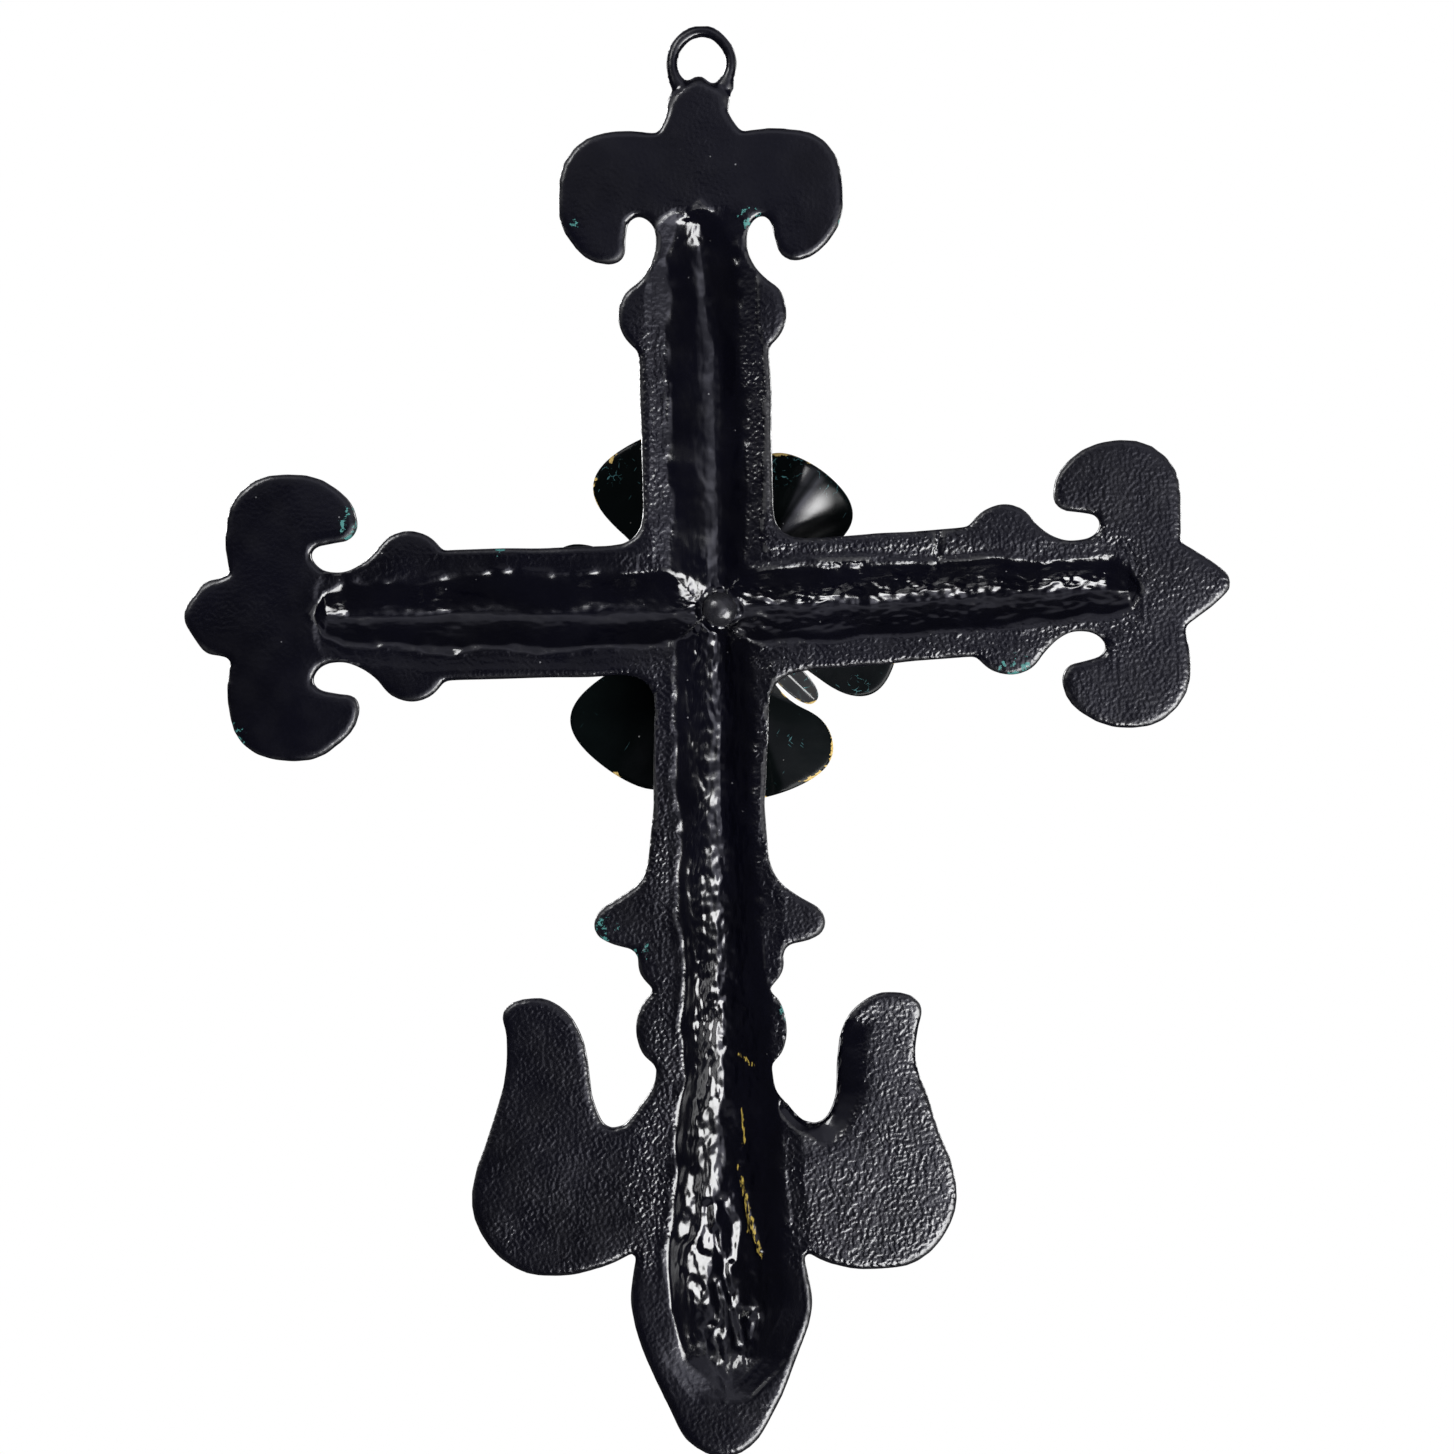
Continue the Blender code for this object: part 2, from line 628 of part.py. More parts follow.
def petal_columns(blank):
    """The blank's columns: angle in degrees, share of the way from petal's middle to edge, and the petal."""
    found = []
    for petal, following in zip(blank.petals, blank.petals[1:] + blank.petals[:1]):
        gap = (following.axis - petal.axis) % 360 - 2 * blank.half_span
        gap_columns = max(1, math.ceil(gap / WIDEST_COLUMN))
        for column in range(-blank.columns, blank.columns + 1):
            share = math.sin(math.pi / 2 * column / blank.columns)
            found.append((petal.axis + share * blank.half_span, share, petal))
        for column in range(1, gap_columns):
            found.append((petal.axis + blank.half_span + gap * column / gap_columns, 1.0, petal))
    return found


def make_blank(name, blank, back_y, collection):
    """A stamped ring of petals: a grid wrapped round the rivet, cupped, and given its thickness."""
    columns = petal_columns(blank)
    hub = blank.hub_radius
    rows = blank.rows
    edit = bmesh.new()
    bmesh.ops.create_grid(edit, x_segments=len(columns), y_segments=rows, size=0.5)
    for vertex in edit.verts:
        angle, share, petal = columns[round((vertex.co.x + 0.5) * len(columns)) % len(columns)]
        row = round((vertex.co.y + 0.5) * rows)
        rounded = (1 - abs(share) ** blank.squareness) ** (1 / blank.squareness)
        out = rounded * (row - 1) / (rows - 1) if row else 0.0
        radius = hub + (petal.reach * blank.reach - hub) * out if row else SHANK_RADIUS + SHANK_CLEARANCE
        forward = blank.rise * out**blank.rise_power + petal.cup * blank.cup * out * share**2
        turn = math.radians(angle)
        vertex.co = RIVET_AXIS + Vector((-radius * math.cos(turn), back_y - forward, radius * math.sin(turn)))
    bmesh.ops.remove_doubles(edit, verts=edit.verts, dist=0.00001)
    bmesh.ops.recalc_face_normals(edit, faces=edit.faces)
    mesh = bpy.data.meshes.new(name)
    edit.to_mesh(mesh)
    edit.free()
    if mesh.polygons[0].normal.y > 0:
        mesh.flip_normals()
    made = bpy.data.objects.new(name, mesh)
    collection.objects.link(made)
    wall = made.modifiers.new("thickness", "SOLIDIFY")
    wall.thickness = PETAL_THICKNESS
    wall.offset = 1
    mesh.shade_smooth()
    return made


def head_profile(radius, height):
    """A rivet head's dome from its crown down to its rim: (radius, height over its seat)."""
    shares = [step / HEAD_STEPS for step in range(HEAD_STEPS + 1)]
    return [(radius * math.sin(math.pi / 2 * t), height * math.cos(math.pi / 2 * t)) for t in shares]


def make_rivet(collection):
    """The rivet: a profile turned about its own axis, then laid along Y with the small head at the back."""
    profile = [(radius, BACK_HEAD_Y + rise) for radius, rise in head_profile(BACK_HEAD_RADIUS, BACK_HEAD_HEIGHT)]
    profile += [(SHANK_RADIUS, BACK_HEAD_Y), (SHANK_RADIUS, FRONT_HEAD_Y)]
    front = head_profile(FRONT_HEAD_RADIUS, FRONT_HEAD_HEIGHT)
    profile += [(radius, FRONT_HEAD_Y - rise) for radius, rise in reversed(front)]
    mesh = bpy.data.meshes.new("rivet")
    mesh.from_pydata(
        [(radius, 0, height) for radius, height in profile],
        [(step, step + 1) for step in range(len(profile) - 1)],
        [],
    )
    rivet = bpy.data.objects.new("rivet", mesh)
    collection.objects.link(rivet)
    rivet.location = RIVET_AXIS
    rivet.rotation_euler = (-math.pi / 2, 0, 0)
    turn = rivet.modifiers.new("turned", "SCREW")
    turn.steps = RIVET_TURNS
    turn.render_steps = RIVET_TURNS
    turn.use_merge_vertices = True
    turn.merge_threshold = 0.00005
    return rivet


def main():
    clear_scene()
    cross = new_collection("iron_cross")
    make_casting(cross)
    petal_enamel = enamel("petal_enamel", (0.010, 0.011, 0.014), 0.22, 0.0)
    outer = make_blank("outer_petals", OUTER_BLANK, OUTER_PETALS_Y, cross)
    outer.data.materials.append(petal_enamel)
    inner = make_blank("inner_petals", INNER_BLANK, INNER_PETALS_Y, cross)
    inner.data.materials.append(petal_enamel)
    rivet = make_rivet(cross)
    rivet.data.materials.append(enamel("rivet_enamel", (0.016, 0.016, 0.020), 0.25, 0.0))


main()
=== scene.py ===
import math
from collections import namedtuple

import bmesh
import bpy
import numpy as np
from bpy.props import FloatProperty, FloatVectorProperty, IntProperty, PointerProperty
from mathutils import Matrix, Vector
from mathutils.kdtree import KDTree


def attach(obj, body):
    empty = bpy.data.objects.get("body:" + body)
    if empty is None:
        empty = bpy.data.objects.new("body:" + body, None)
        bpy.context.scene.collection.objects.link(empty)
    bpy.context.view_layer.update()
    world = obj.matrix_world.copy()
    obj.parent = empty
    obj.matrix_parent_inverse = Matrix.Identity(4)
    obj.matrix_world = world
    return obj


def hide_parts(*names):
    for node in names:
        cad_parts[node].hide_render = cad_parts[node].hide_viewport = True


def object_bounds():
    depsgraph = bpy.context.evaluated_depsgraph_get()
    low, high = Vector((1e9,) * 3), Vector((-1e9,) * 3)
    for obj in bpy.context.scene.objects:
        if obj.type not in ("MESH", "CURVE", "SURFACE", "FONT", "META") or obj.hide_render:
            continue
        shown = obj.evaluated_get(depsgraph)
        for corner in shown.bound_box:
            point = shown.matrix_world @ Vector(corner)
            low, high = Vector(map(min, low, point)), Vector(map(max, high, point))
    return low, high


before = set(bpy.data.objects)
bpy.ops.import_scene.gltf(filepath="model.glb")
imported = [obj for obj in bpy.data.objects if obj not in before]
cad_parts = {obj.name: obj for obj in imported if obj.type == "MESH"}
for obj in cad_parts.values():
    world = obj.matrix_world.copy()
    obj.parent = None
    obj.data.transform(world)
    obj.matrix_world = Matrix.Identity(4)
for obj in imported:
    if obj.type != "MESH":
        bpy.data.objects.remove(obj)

bl_info = {
    "name": "Cast Iron Cross",
    "version": (1, 0, 0),
    "blender": (4, 5, 0),
    "location": "3D View > Sidebar > Cross",
    "description": "Builds the enamelled casting, its flower and rivet, and the stage round them",
    "category": "Object",
}

MM = 0.001
CAD_BOX = [list(corner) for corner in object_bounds()]
BACK_Y = 2.25 * MM    # the flat back
RING_DROP = 131.5 * MM    # from the origin, in the ring, down to the crossing
RIVET_AXIS = Vector((-2.4 * MM, 0, -RING_DROP))
BACK_HEAD_Y = -2.85 * MM    # under the rivet's head at the back
FRONT_HEAD_Y = -11.756 * MM    # under its head on the flower
HOLE_ROOM = 0.3 * MM    # between the shank and the petals' hole
RIVET_DENT = 0.16 * MM    # from the deepest dent to the highest place
RIVET_DENT_CELL = 2.6 * MM
MOST_FACES = 190000    # triangles in the casting

# How the channels are cut; a stretch is from and to, along the foot from the crossing
DEPTH_SHARE = 0.72    # a channel's depth against its half width
CREASE_POWER = 1.6    # 1 for a straight V, 2 for a round floor
LEAST_SPAN = 2 * MM    # from a lip to the crease
RAGGED_CELL = 7 * MM    # length of a lip's ragged waves
RAGGED_WAVE = 1.6 * MM    # their width, from side to side
ROUNDER_STRETCH = (110 * MM, 130 * MM)
ROUNDER_POWER = 0.4    # added to the crease's power below that stretch
SHALLOWER_STRETCHES = ((112 * MM, 135 * MM), (160 * MM, 188 * MM))
SHALLOWER_SHARE = 0.25    # taken off the depth over each of them
SOFT_END = (172 * MM, 188 * MM)
SOFT_END_ROLL = 2.0 * MM    # added to the roundness of the lips there
RIGHT_ROLL = 1.4 * MM    # added to the roundness of the foot's right lip
MEETING_REACH = 3 * MM    # depths this close are rounded where two channels meet
MEETING_ROUND = 0.75 * MM
MEETING_DEPTHS = (0.8 * MM, 2.5 * MM)    # the rounding starts between them
SEAT_DEPTH = 5.4 * MM    # under the rivet's head, below the flat back
SEAT_SIDE = (4.6 * MM, 8.5 * MM)    # distances from the rivet's axis between which the seat's side slopes
SEAT_SLOPE = 6 * MM    # how far it slopes
BEHIND_REACH = 2.6 * MM    # how far outside a lip points still count as the back's
BEHIND_REACH_ADDED = 2.4 * MM    # more of that in the blade
BLADE_START = (150 * MM, 165 * MM)
SKIN = 0.7 * MM    # points this near the flat back always count as the back's

# How the paint lies in the channels
CALM_MIDDLE = 42 * MM    # the foot's paint is less lumpy here
CALM_LENGTH = 26 * MM
CROSSING_LUMPS = 0.9
CROSSING_REACH = 13 * MM
END_LUMPS = 0.6
END_STRETCH = (84 * MM, 91 * MM)    # of the small arms' channels
BROAD_LUMP = (3.0, 9)    # across and along, in millimetres
SMALL_LUMP = (1.7, 3.4)
SMALL_LUMP_SHARE = 0.6
LUMPS_START = (1.0 * MM, 4.0 * MM)    # inside a lip
WAVE_CELLS = (2.6 * MM, 4.5 * MM)    # of the bends in the runs of paint
WAVE_WIDTH = 1.4 * MM

# The uneven back outside the channels
BROAD_CELL, MIDDLE_CELL, PATCH_CELL = 24 * MM, 8 * MM, 9 * MM
LIP_CELL = 2.6 * MM    # of the small bumps along a lip
LIP_BUMP = 0.5 * MM
LIP_BUMP_REACH = 1.6 * MM
BEAD_WIDTH = 0.8 * MM    # of the bead of paint beside a channel
PLAIN_LIP = (150 * MM, 170 * MM)    # the lip has no bead or bumps below this stretch of the foot
OUTLINE_CELL = 10 * MM    # length of the outline's waves
COLD_SHUT_PLACE = 55.4 * MM    # along the right arm, on its upper flange
COLD_SHUT_WIDTH = 0.7 * MM
COLD_SHUT_DEPTH = 0.6 * MM
FLOW_DEPTH = 1.4 * MM    # of the flow lines along that flange
FLOW_CELLS = (16 * MM, 1.5 * MM)
FLOW_MIDDLE, FLOW_LENGTH = 42 * MM, 28 * MM    # along the arm
FLOW_OUT, FLOW_WIDTH = 9.5 * MM, 2.6 * MM    # across it
LEAF_HALF = 12 * MM    # swelling stays this near a leaf's middle

# What the casting's masks show; the foot's stretches are from the crossing
SHARP_EDGE = (0.06 * MM, 0.30 * MM)    # how far a point stands out of its neighbours' middle
POINTED_END = (172 * MM, 180 * MM)    # the foot's channel is rougher there
BLADE = (152 * MM, 164 * MM)
LOBE_OUT, LOBE_DOWN = (16 * MM, 30 * MM), (85 * MM, 95 * MM)    # the coarse right lobe
BESIDE_LIP = 5 * MM    # coarse grain lies this far from a lip, and fades over as much
CALMER_FOOT = (105 * MM, 122 * MM)
SATIN_TOP = (50 * MM, 85 * MM)
SATIN_LEFT, SATIN_UP = (8 * MM, 28 * MM), (-60 * MM, -40 * MM)
STREAK_WIDTH = (0.2 * MM, 2.0 * MM)    # a streak of gold, from its line to its edge
SPARED_REACH = 3 * MM    # thinning spares the faces this far outside a lip

# The bevel beside the right horn, and the bend of the right lobe, both along and to the right of the foot
CROOK_START, CROOK_END = 92 * MM, 134 * MM
CROOK_NEAR, CROOK_FAR = 10 * MM, 42 * MM
CROOK_HORN = (21 * MM, 27 * MM)    # the bevel widens between them
CROOK_WIDTH = 2.6    # of the bevel, in millimetres
CROOK_WIDTH_ADDED = 3.8    # more of that beside the horn
CROOK_RISE_START = 97    # where the bevel begins beside the horn, in millimetres along the foot
CROOK_RISE_LATER = 13    # how much farther along it begins away from the horn
CROOK_RISE = 9    # the length over which it rises
CROOK_OUTER_END = (36 * MM, 39 * MM)
BEND_FROM = 20 * MM
BEND_STRETCH = (88 * MM, 100 * MM)

# An arm's direction with its lean, in degrees. Then in millimetres, at distances from the crossing: the half
# width of its channel, how far the channel's middle strays to the left of the arm's line, and how far the
# crease along its floor lies to the left of that middle. Then the roundness of its lips in millimetres, and
# how lumpy its paint is, as a share
Arm = namedtuple("Arm", "direction channel sway crease roll lumps")
ARMS = {
    "right": Arm(
        2.0, ((0, 8.5), (62, 8.5), (79, 7.0), (96, 7.0), (101, 5.0), (103.7, 0.5), (110, -6.0)),
        ((0, 0), (110, 0)), ((0, 0), (110, 0)), 1.3, 0.8,
    ),
    "top": Arm(
        90.4, ((0, 8.5), (62, 8.5), (79, 8.0), (88, 7.6), (93, 5.0), (96.0, 0.5), (102, -6.0)),
        ((0, 0), (110, 0)), ((0, -2.4), (60, -2.4), (92, 0.3)), 2.6, 0.2,
    ),
    "left": Arm(
        179.9, ((0, 8.5), (62, 8.5), (79, 7.0), (88, 7.0), (92.8, 5.0), (95.3, 0.5), (101, -6.0)),
        ((0, 0), (110, 0)), ((0, 0), (110, 0)), 1.5, 0.25,
    ),
    "foot": Arm(
        270.0, ((0, 9.2), (91, 9.2), (154, 14.1), (168, 13.6), (180, 9.5), (189.6, 1.0), (196, -6.0)),
        ((0, 0), (60, 0.5), (90, 1.7), (113, 2.3), (135, 1.9), (154, 1.3), (190, 0.3)),
        ((0, 2.0), (60, 1.6), (100, 0.2), (113, -0.4), (150, -1.0), (190, 0)), 0.6, 1.0,
    ),
}

# Where a leaf is fuller than the solid's: how far along the arm, the leaf's middle to the left of the arm's
# line and the length of the fuller part, in millimetres, and the share that is added to its width
Swell = namedtuple("Swell", "arm along middle length share")
SWELLS = (Swell("top", 123.4, 0.8, 2.6, 0.45), Swell("left", 122.5, 0.0, 4.0, 0.35))

# Runs of paint in the foot and streaks of gold beside them: right and up from the crossing, in millimetres
Run = namedtuple("Run", "height width line")
PAINT_RUNS = (
    Run(1.0, 1.5, ((1.0, -143.0), (2.2, -147.5), (2.5, -151.5), (2.0, -156.5))),
    Run(1.2, 1.6, ((-3.4, -144.5), (-4.2, -149.0), (-3.6, -153.5))),
    Run(1.1, 1.4, ((-1.6, -150.0), (-0.6, -156.0), (0.4, -160.0), (1.9, -164.5))),
    Run(1.0, 1.2, ((2.2, -166.0), (2.6, -172.0), (3.4, -176.5))),
    Run(1.1, 1.3, ((-1.6, -163.0), (-0.6, -168.0), (-0.8, -173.0))),
    Run(1.0, 1.1, ((6.6, -171.0), (6.9, -175.5))),
    Run(1.1, 1.3, ((-2.6, -173.0), (-1.2, -178.0), (-0.9, -180.4))),
    Run(0.8, 1.8, ((-6.0, -137.0), (-6.6, -143.0), (-7.6, -150.0))),
    Run(0.5, 0.7, ((4.6, -134.0), (5.6, -141.0), (7.2, -147.0), (8.3, -152.0))),
    Run(0.5, 0.7, ((6.6, -141.0), (7.6, -150.5), (9.6, -155.5))),
)
GOLD_STREAKS = (
    ((4.7, -134.5), (5.8, -140.7), (7.6, -146.8), (8.5, -151.6), (9.9, -156.4)),
    ((5.9, -120.8), (6.0, -129.9)),
    ((5.4, -107.6), (8.4, -110.0)),
    ((6.4, -141.5), (7.0, -150.5)),
)

# Each petal's axis in degrees, anticlockwise from the right, its shares of the reach and of the cup, and the
# shares by which it is narrower near the hub on its clockwise side and on the other one
Petal = namedtuple("Petal", "axis reach cup trim other_trim", defaults=(0.0, 0.0))
BROAD_PETALS = (
    Petal(-11.0, 0.929, 0.6, 0.15),
    Petal(53.5, 0.885, 2.1),
    Petal(115.5, 0.965, 0.9),
    Petal(176.0, 0.917, 1.0),
    Petal(233.5, 0.992, 0.3),
    Petal(288.5, 0.980, 1.0, 0.0, 0.8),
)
NARROW_PETALS = (Petal(-44.0, 1.0, 1.0), Petal(76.0, 1.0, 1.0), Petal(196.0, 1.0, 1.0))
Whorl = namedtuple("Whorl", "petals sizes")
WHORLS = {
    "outer_petals": Whorl(BROAD_PETALS, {
        "Hub Radius": 8.0 * MM, "Reach": 48.0 * MM, "Half Span": math.radians(26.0), "Squareness": 4.5,
        "Rise": 4.0 * MM, "Rise Power": 0.6, "Cup": 4.0 * MM, "Seat": -9.356 * MM, "Seed": 3,
    }),
    "inner_petals": Whorl(NARROW_PETALS, {
        "Hub Radius": 6.5 * MM, "Reach": 32.5 * MM, "Half Span": math.radians(9.0), "Squareness": 2.4,
        "Rise": 11.0 * MM, "Rise Power": 1.25, "Cup": -2.2 * MM, "Seat": -10.556 * MM, "Seed": 8,
    }),
}


class CastingSettings(bpy.types.PropertyGroup):
    grid: FloatProperty(
        name="Grid", description="Size of the casting's faces", default=0.62 * MM, unit="LENGTH"
    )
    softening: IntProperty(
        name="Softening", description="Passes that round the casting's edges as paint does", default=5,
        min=0,
    )
    wobble: FloatProperty(
        name="Wobble", description="How far the flat back sinks in its low places", default=0.45 * MM,
        unit="LENGTH",
    )
    lip: FloatProperty(
        name="Lip", description="Height of the bead of paint beside a channel", default=0.25 * MM,
        unit="LENGTH",
    )
    unevenness: FloatProperty(
        name="Unevenness", description="How far the outline strays", default=0.45 * MM, unit="LENGTH"
    )
    lumps: FloatProperty(
        name="Lumps", description="Height of the lumps of paint in a channel", default=0.50 * MM,
        unit="LENGTH",
    )
    drips: FloatProperty(
        name="Drips", description="Thickness of the runs of paint in the foot, as a share", default=1.0,
        min=0,
    )
    bend: FloatProperty(
        name="Bend", description="Slope of the foot's right lobe", default=0.045
    )
    bevel: FloatProperty(
        name="Bevel", description="Depth of the sloping edge beside the right horn", default=2.4 * MM,
        unit="LENGTH",
    )
    enamel: FloatVectorProperty(
        name="Enamel", description="Black enamel", default=(0.0010, 0.0010, 0.0024), subtype="COLOR", size=3
    )
    undercoat: FloatVectorProperty(
        name="Undercoat", description="Green paint under the black", default=(0.030, 0.15, 0.135),
        subtype="COLOR", size=3,
    )
    old_gold: FloatVectorProperty(
        name="Old gold", description="Gold paint that shows in the foot", default=(0.34, 0.25, 0.05),
        subtype="COLOR", size=3,
    )


class FlowerSettings(bpy.types.PropertyGroup):
    columns: IntProperty(
        name="Columns", description="Rows of points from side to side of a petal", default=27, min=7
    )
    rows: IntProperty(
        name="Rows", description="Rows of points from the rivet to a petal's tip", default=18, min=4
    )
    thickness: FloatProperty(
        name="Thickness", description="Thickness of the sheet", default=0.9 * MM, unit="LENGTH"
    )
    dents: FloatProperty(
        name="Dents", description="Depth of the dents in the sheet", default=0.35 * MM, unit="LENGTH"
    )
    enamel: FloatVectorProperty(
        name="Enamel", description="Black enamel on the broad petals", default=(0.0014, 0.0022, 0.0022),
        subtype="COLOR", size=3,
    )
    # Grey for the narrow petals, lighter than their black enamel: painted sheen that stands in for the light
    # their folded faces reflect
    painted_sheen: FloatVectorProperty(
        name="Painted sheen", description="Grey enamel on the narrow petals", default=(0.022, 0.023, 0.024),
        subtype="COLOR", size=3,
    )
    undercoat: FloatVectorProperty(
        name="Undercoat", description="Green paint that shows in scratches", default=(0.045, 0.12, 0.125),
        subtype="COLOR", size=3,
    )
    gold: FloatVectorProperty(
        name="Gold", description="Gold at the chipped edges", default=(0.50, 0.36, 0.12), subtype="COLOR",
        size=3,
    )


class RivetSettings(bpy.types.PropertyGroup):
    back_radius: FloatProperty(
        name="Back head", description="Radius of the head at the back", default=4.3 * MM, unit="LENGTH"
    )
    back_height: FloatProperty(
        name="Back height", description="Height of the head at the back", default=2.9 * MM, unit="LENGTH"
    )
    front_radius: FloatProperty(
        name="Front head", description="Radius of the head on the flower", default=6.5 * MM, unit="LENGTH"
    )
    front_height: FloatProperty(
        name="Front height", description="Height of the head on the flower", default=4.2 * MM, unit="LENGTH"
    )
    shank: FloatProperty(
        name="Shank", description="Radius of the shank", default=2.2 * MM, unit="LENGTH"
    )


class StageSettings(bpy.types.PropertyGroup):
    distance: FloatProperty(
        name="Camera distance", description="From the camera to the flat back", default=0.95, unit="LENGTH"
    )
    roll: FloatProperty(
        name="Roll", description="How far the cross is turned in the picture", default=math.radians(0.95),
        subtype="ANGLE",
    )
    view_width: FloatProperty(
        name="View width", description="Width of the picture at the flat back", default=0.34896, unit="LENGTH"
    )
    floor_drop: FloatProperty(
        name="Floor", description="The floor's height", default=-0.47, unit="LENGTH"
    )
    floor_radius: FloatProperty(
        name="Floor radius", description="Radius of the round floor", default=0.55, unit="LENGTH"
    )


# Mesh helpers


def piece_from(mesh, name):
    piece = bpy.data.objects.new(name, mesh)
    bpy.context.scene.collection.objects.link(piece)
    return piece


def welded_copy(node, name):
    """A copy of a CAD node's mesh as a new object, its loose triangles joined."""
    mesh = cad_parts[node].data.copy()
    mesh.name = name
    mesh.materials.clear()
    edit = bmesh.new()
    edit.from_mesh(mesh)
    bmesh.ops.remove_doubles(edit, verts=edit.verts, dist=0.002 * MM)
    edit.to_mesh(mesh)
    edit.free()
    return piece_from(mesh, name)


def settled(piece):
    """Applies a piece's modifiers by taking the evaluated mesh."""
    graph = bpy.context.evaluated_depsgraph_get()
    graph.update()
    mesh = bpy.data.meshes.new_from_object(piece.evaluated_get(graph))
    name, old = piece.name, piece.data
    piece.modifiers.clear()
    piece.data = mesh
    bpy.data.meshes.remove(old)
    mesh.name = name
    return piece


def regridded(piece, grid, passes):
    """Gives a piece an even mesh, its edges rounded by smoothing."""
    even = piece.modifiers.new("even", "REMESH")
    even.mode = "VOXEL"
    even.voxel_size = grid
    if passes:
        soft = piece.modifiers.new("soft", "SMOOTH")
        soft.factor = 0.5
        soft.iterations = passes
    return settled(piece)


def points_of(mesh):
    found = np.empty(len(mesh.vertices) * 3, np.float32)
    mesh.vertices.foreach_get("co", found)
    return found.reshape(-1, 3).astype(float)


def normals_of(mesh):
    found = np.empty(len(mesh.vertices) * 3, np.float32)
    mesh.vertices.foreach_get("normal", found)
    return found.reshape(-1, 3).astype(float)


def set_points(mesh, points):
    mesh.vertices.foreach_set("co", points.astype(np.float32).ravel())
    mesh.update()


def set_mask(mesh, name, values):
    """Keeps a value from 0 to 1 at each point, for the materials."""
    mask = mesh.attributes.new(name, "FLOAT", "POINT")
    mask.data.foreach_set("value", np.clip(values, 0, 1).astype(np.float32))


def convexity(mesh, points, normals, passes=3):
    """How far each point stands out of its neighbours' middle along its normal, in metres."""
    pairs = np.empty(len(mesh.edges) * 2, np.int32)
    mesh.edges.foreach_get("vertices", pairs)
    first, second = pairs.reshape(-1, 2).T
    count = np.bincount(np.concatenate((first, second)), minlength=len(points))[:, None]
    soft = points
    for _ in range(passes):
        total = np.zeros_like(points)
        np.add.at(total, first, soft[second])
        np.add.at(total, second, soft[first])
        soft = total / np.maximum(count, 1)
    return ((points - soft) * normals).sum(1)


# Fields over the casting


def ramp(values, low, high):
    t = np.clip((values - low) / (high - low), 0, 1)
    return t * t * (3 - 2 * t)


def hill(values, width):
    return np.exp(-((values / width) ** 2))


def lattice_noise(places, seed):
    """Smooth noise from 0 to 1 over points given in cells."""
    table = np.random.RandomState(seed).rand(32, 32, 32)
    cell = np.floor(places).astype(int)
    part = places - cell
    part = part * part * (3 - 2 * part)
    value = np.zeros(len(places))
    for corner in np.ndindex(2, 2, 2):
        weight = np.prod(np.where(corner, part, 1 - part), axis=1)
        at = (cell + corner) % 32
        value += weight * table[at[:, 0], at[:, 1], at[:, 2]]
    return value


def arm_coordinates(points, name):
    """Distance along an arm from the crossing, and to the left of that direction, of each point."""
    turn = math.radians(ARMS[name].direction)
    right, up = -points[:, 0], points[:, 2] + RING_DROP
    return right * math.cos(turn) + up * math.sin(turn), up * math.cos(turn) - right * math.sin(turn)


def at_stations(stations, along):
    """A value in metres along an arm, from stations given in millimetres."""
    places, values = np.array(stations).T * MM
    return np.interp(along, places, values)


def flat_noise(points, cell, shift, seed):
    """Smooth noise from 0 to 1 over the back, in cells of this size in metres."""
    flat = np.column_stack((points[:, 0], points[:, 2], points[:, 1] * 0))
    return lattice_noise(flat / cell + shift, seed)


def channel_depth(points):
    """Depth of the channels, how far inside the nearest lip each point is, and its places along the arms."""
    where = {name: arm_coordinates(points, name) for name in ARMS}
    ragged = (flat_noise(points, RAGGED_CELL, 4, 61) - 0.5) * RAGGED_WAVE
    depth, inside = np.zeros(len(points)), np.full(len(points), -20 * MM)
    for name, (along, out) in where.items():
        arm = ARMS[name]
        half = at_stations(arm.channel, along)
        out = out - at_stations(arm.sway, along)
        crease = at_stations(arm.crease, along)
        side = np.sign(out - crease)
        lip = half - side * out + ragged
        span = np.maximum(half - side * crease, LEAST_SPAN)
        roll, power = arm.roll * MM, CREASE_POWER
        if name == "foot":
            roll = roll + SOFT_END_ROLL * ramp(along, *SOFT_END) + RIGHT_ROLL * (out > 0)
            power = power + ROUNDER_POWER * ramp(along, *ROUNDER_STRETCH)
        rolled = (lip + np.sqrt(lip**2 + roll**2)) / 2
        share = np.minimum(rolled / (span + ragged * 0.5), 1)
        own = DEPTH_SHARE * np.maximum(half, 0) * (1 - (1 - share) ** power)
        if name == "foot":
            for stretch in SHALLOWER_STRETCHES:
                own = own * (1 - SHALLOWER_SHARE * ramp(along, *stretch))
        use = along > -2 * MM
        both = ramp(np.minimum(depth, own), *MEETING_DEPTHS)
        meeting = np.maximum(1 - np.abs(depth - own) / MEETING_REACH, 0) ** 2 * MEETING_ROUND * both
        depth = np.where(use, np.maximum(depth, own) + meeting, depth)
        inside = np.where(use, np.maximum(inside, lip), inside)
    away = np.hypot(points[:, 0] - RIVET_AXIS[0], points[:, 2] - RIVET_AXIS[2])
    seat = SEAT_DEPTH + ramp(away, *SEAT_SIDE) * SEAT_SLOPE
    return np.minimum(depth, seat), inside, where


def line_distance(places, line):
    """Distance from each place, (right, up) in metres, to a line of points in millimetres."""
    line = np.array(line) * MM
    nearest = np.full(len(places), np.inf)
    for start, end in zip(line, line[1:]):
        run = end - start
        part = np.clip((places - start) @ run / (run @ run), 0, 1)
        nearest = np.minimum(nearest, np.linalg.norm(places - start - part[:, None] * run, axis=1))
    return nearest


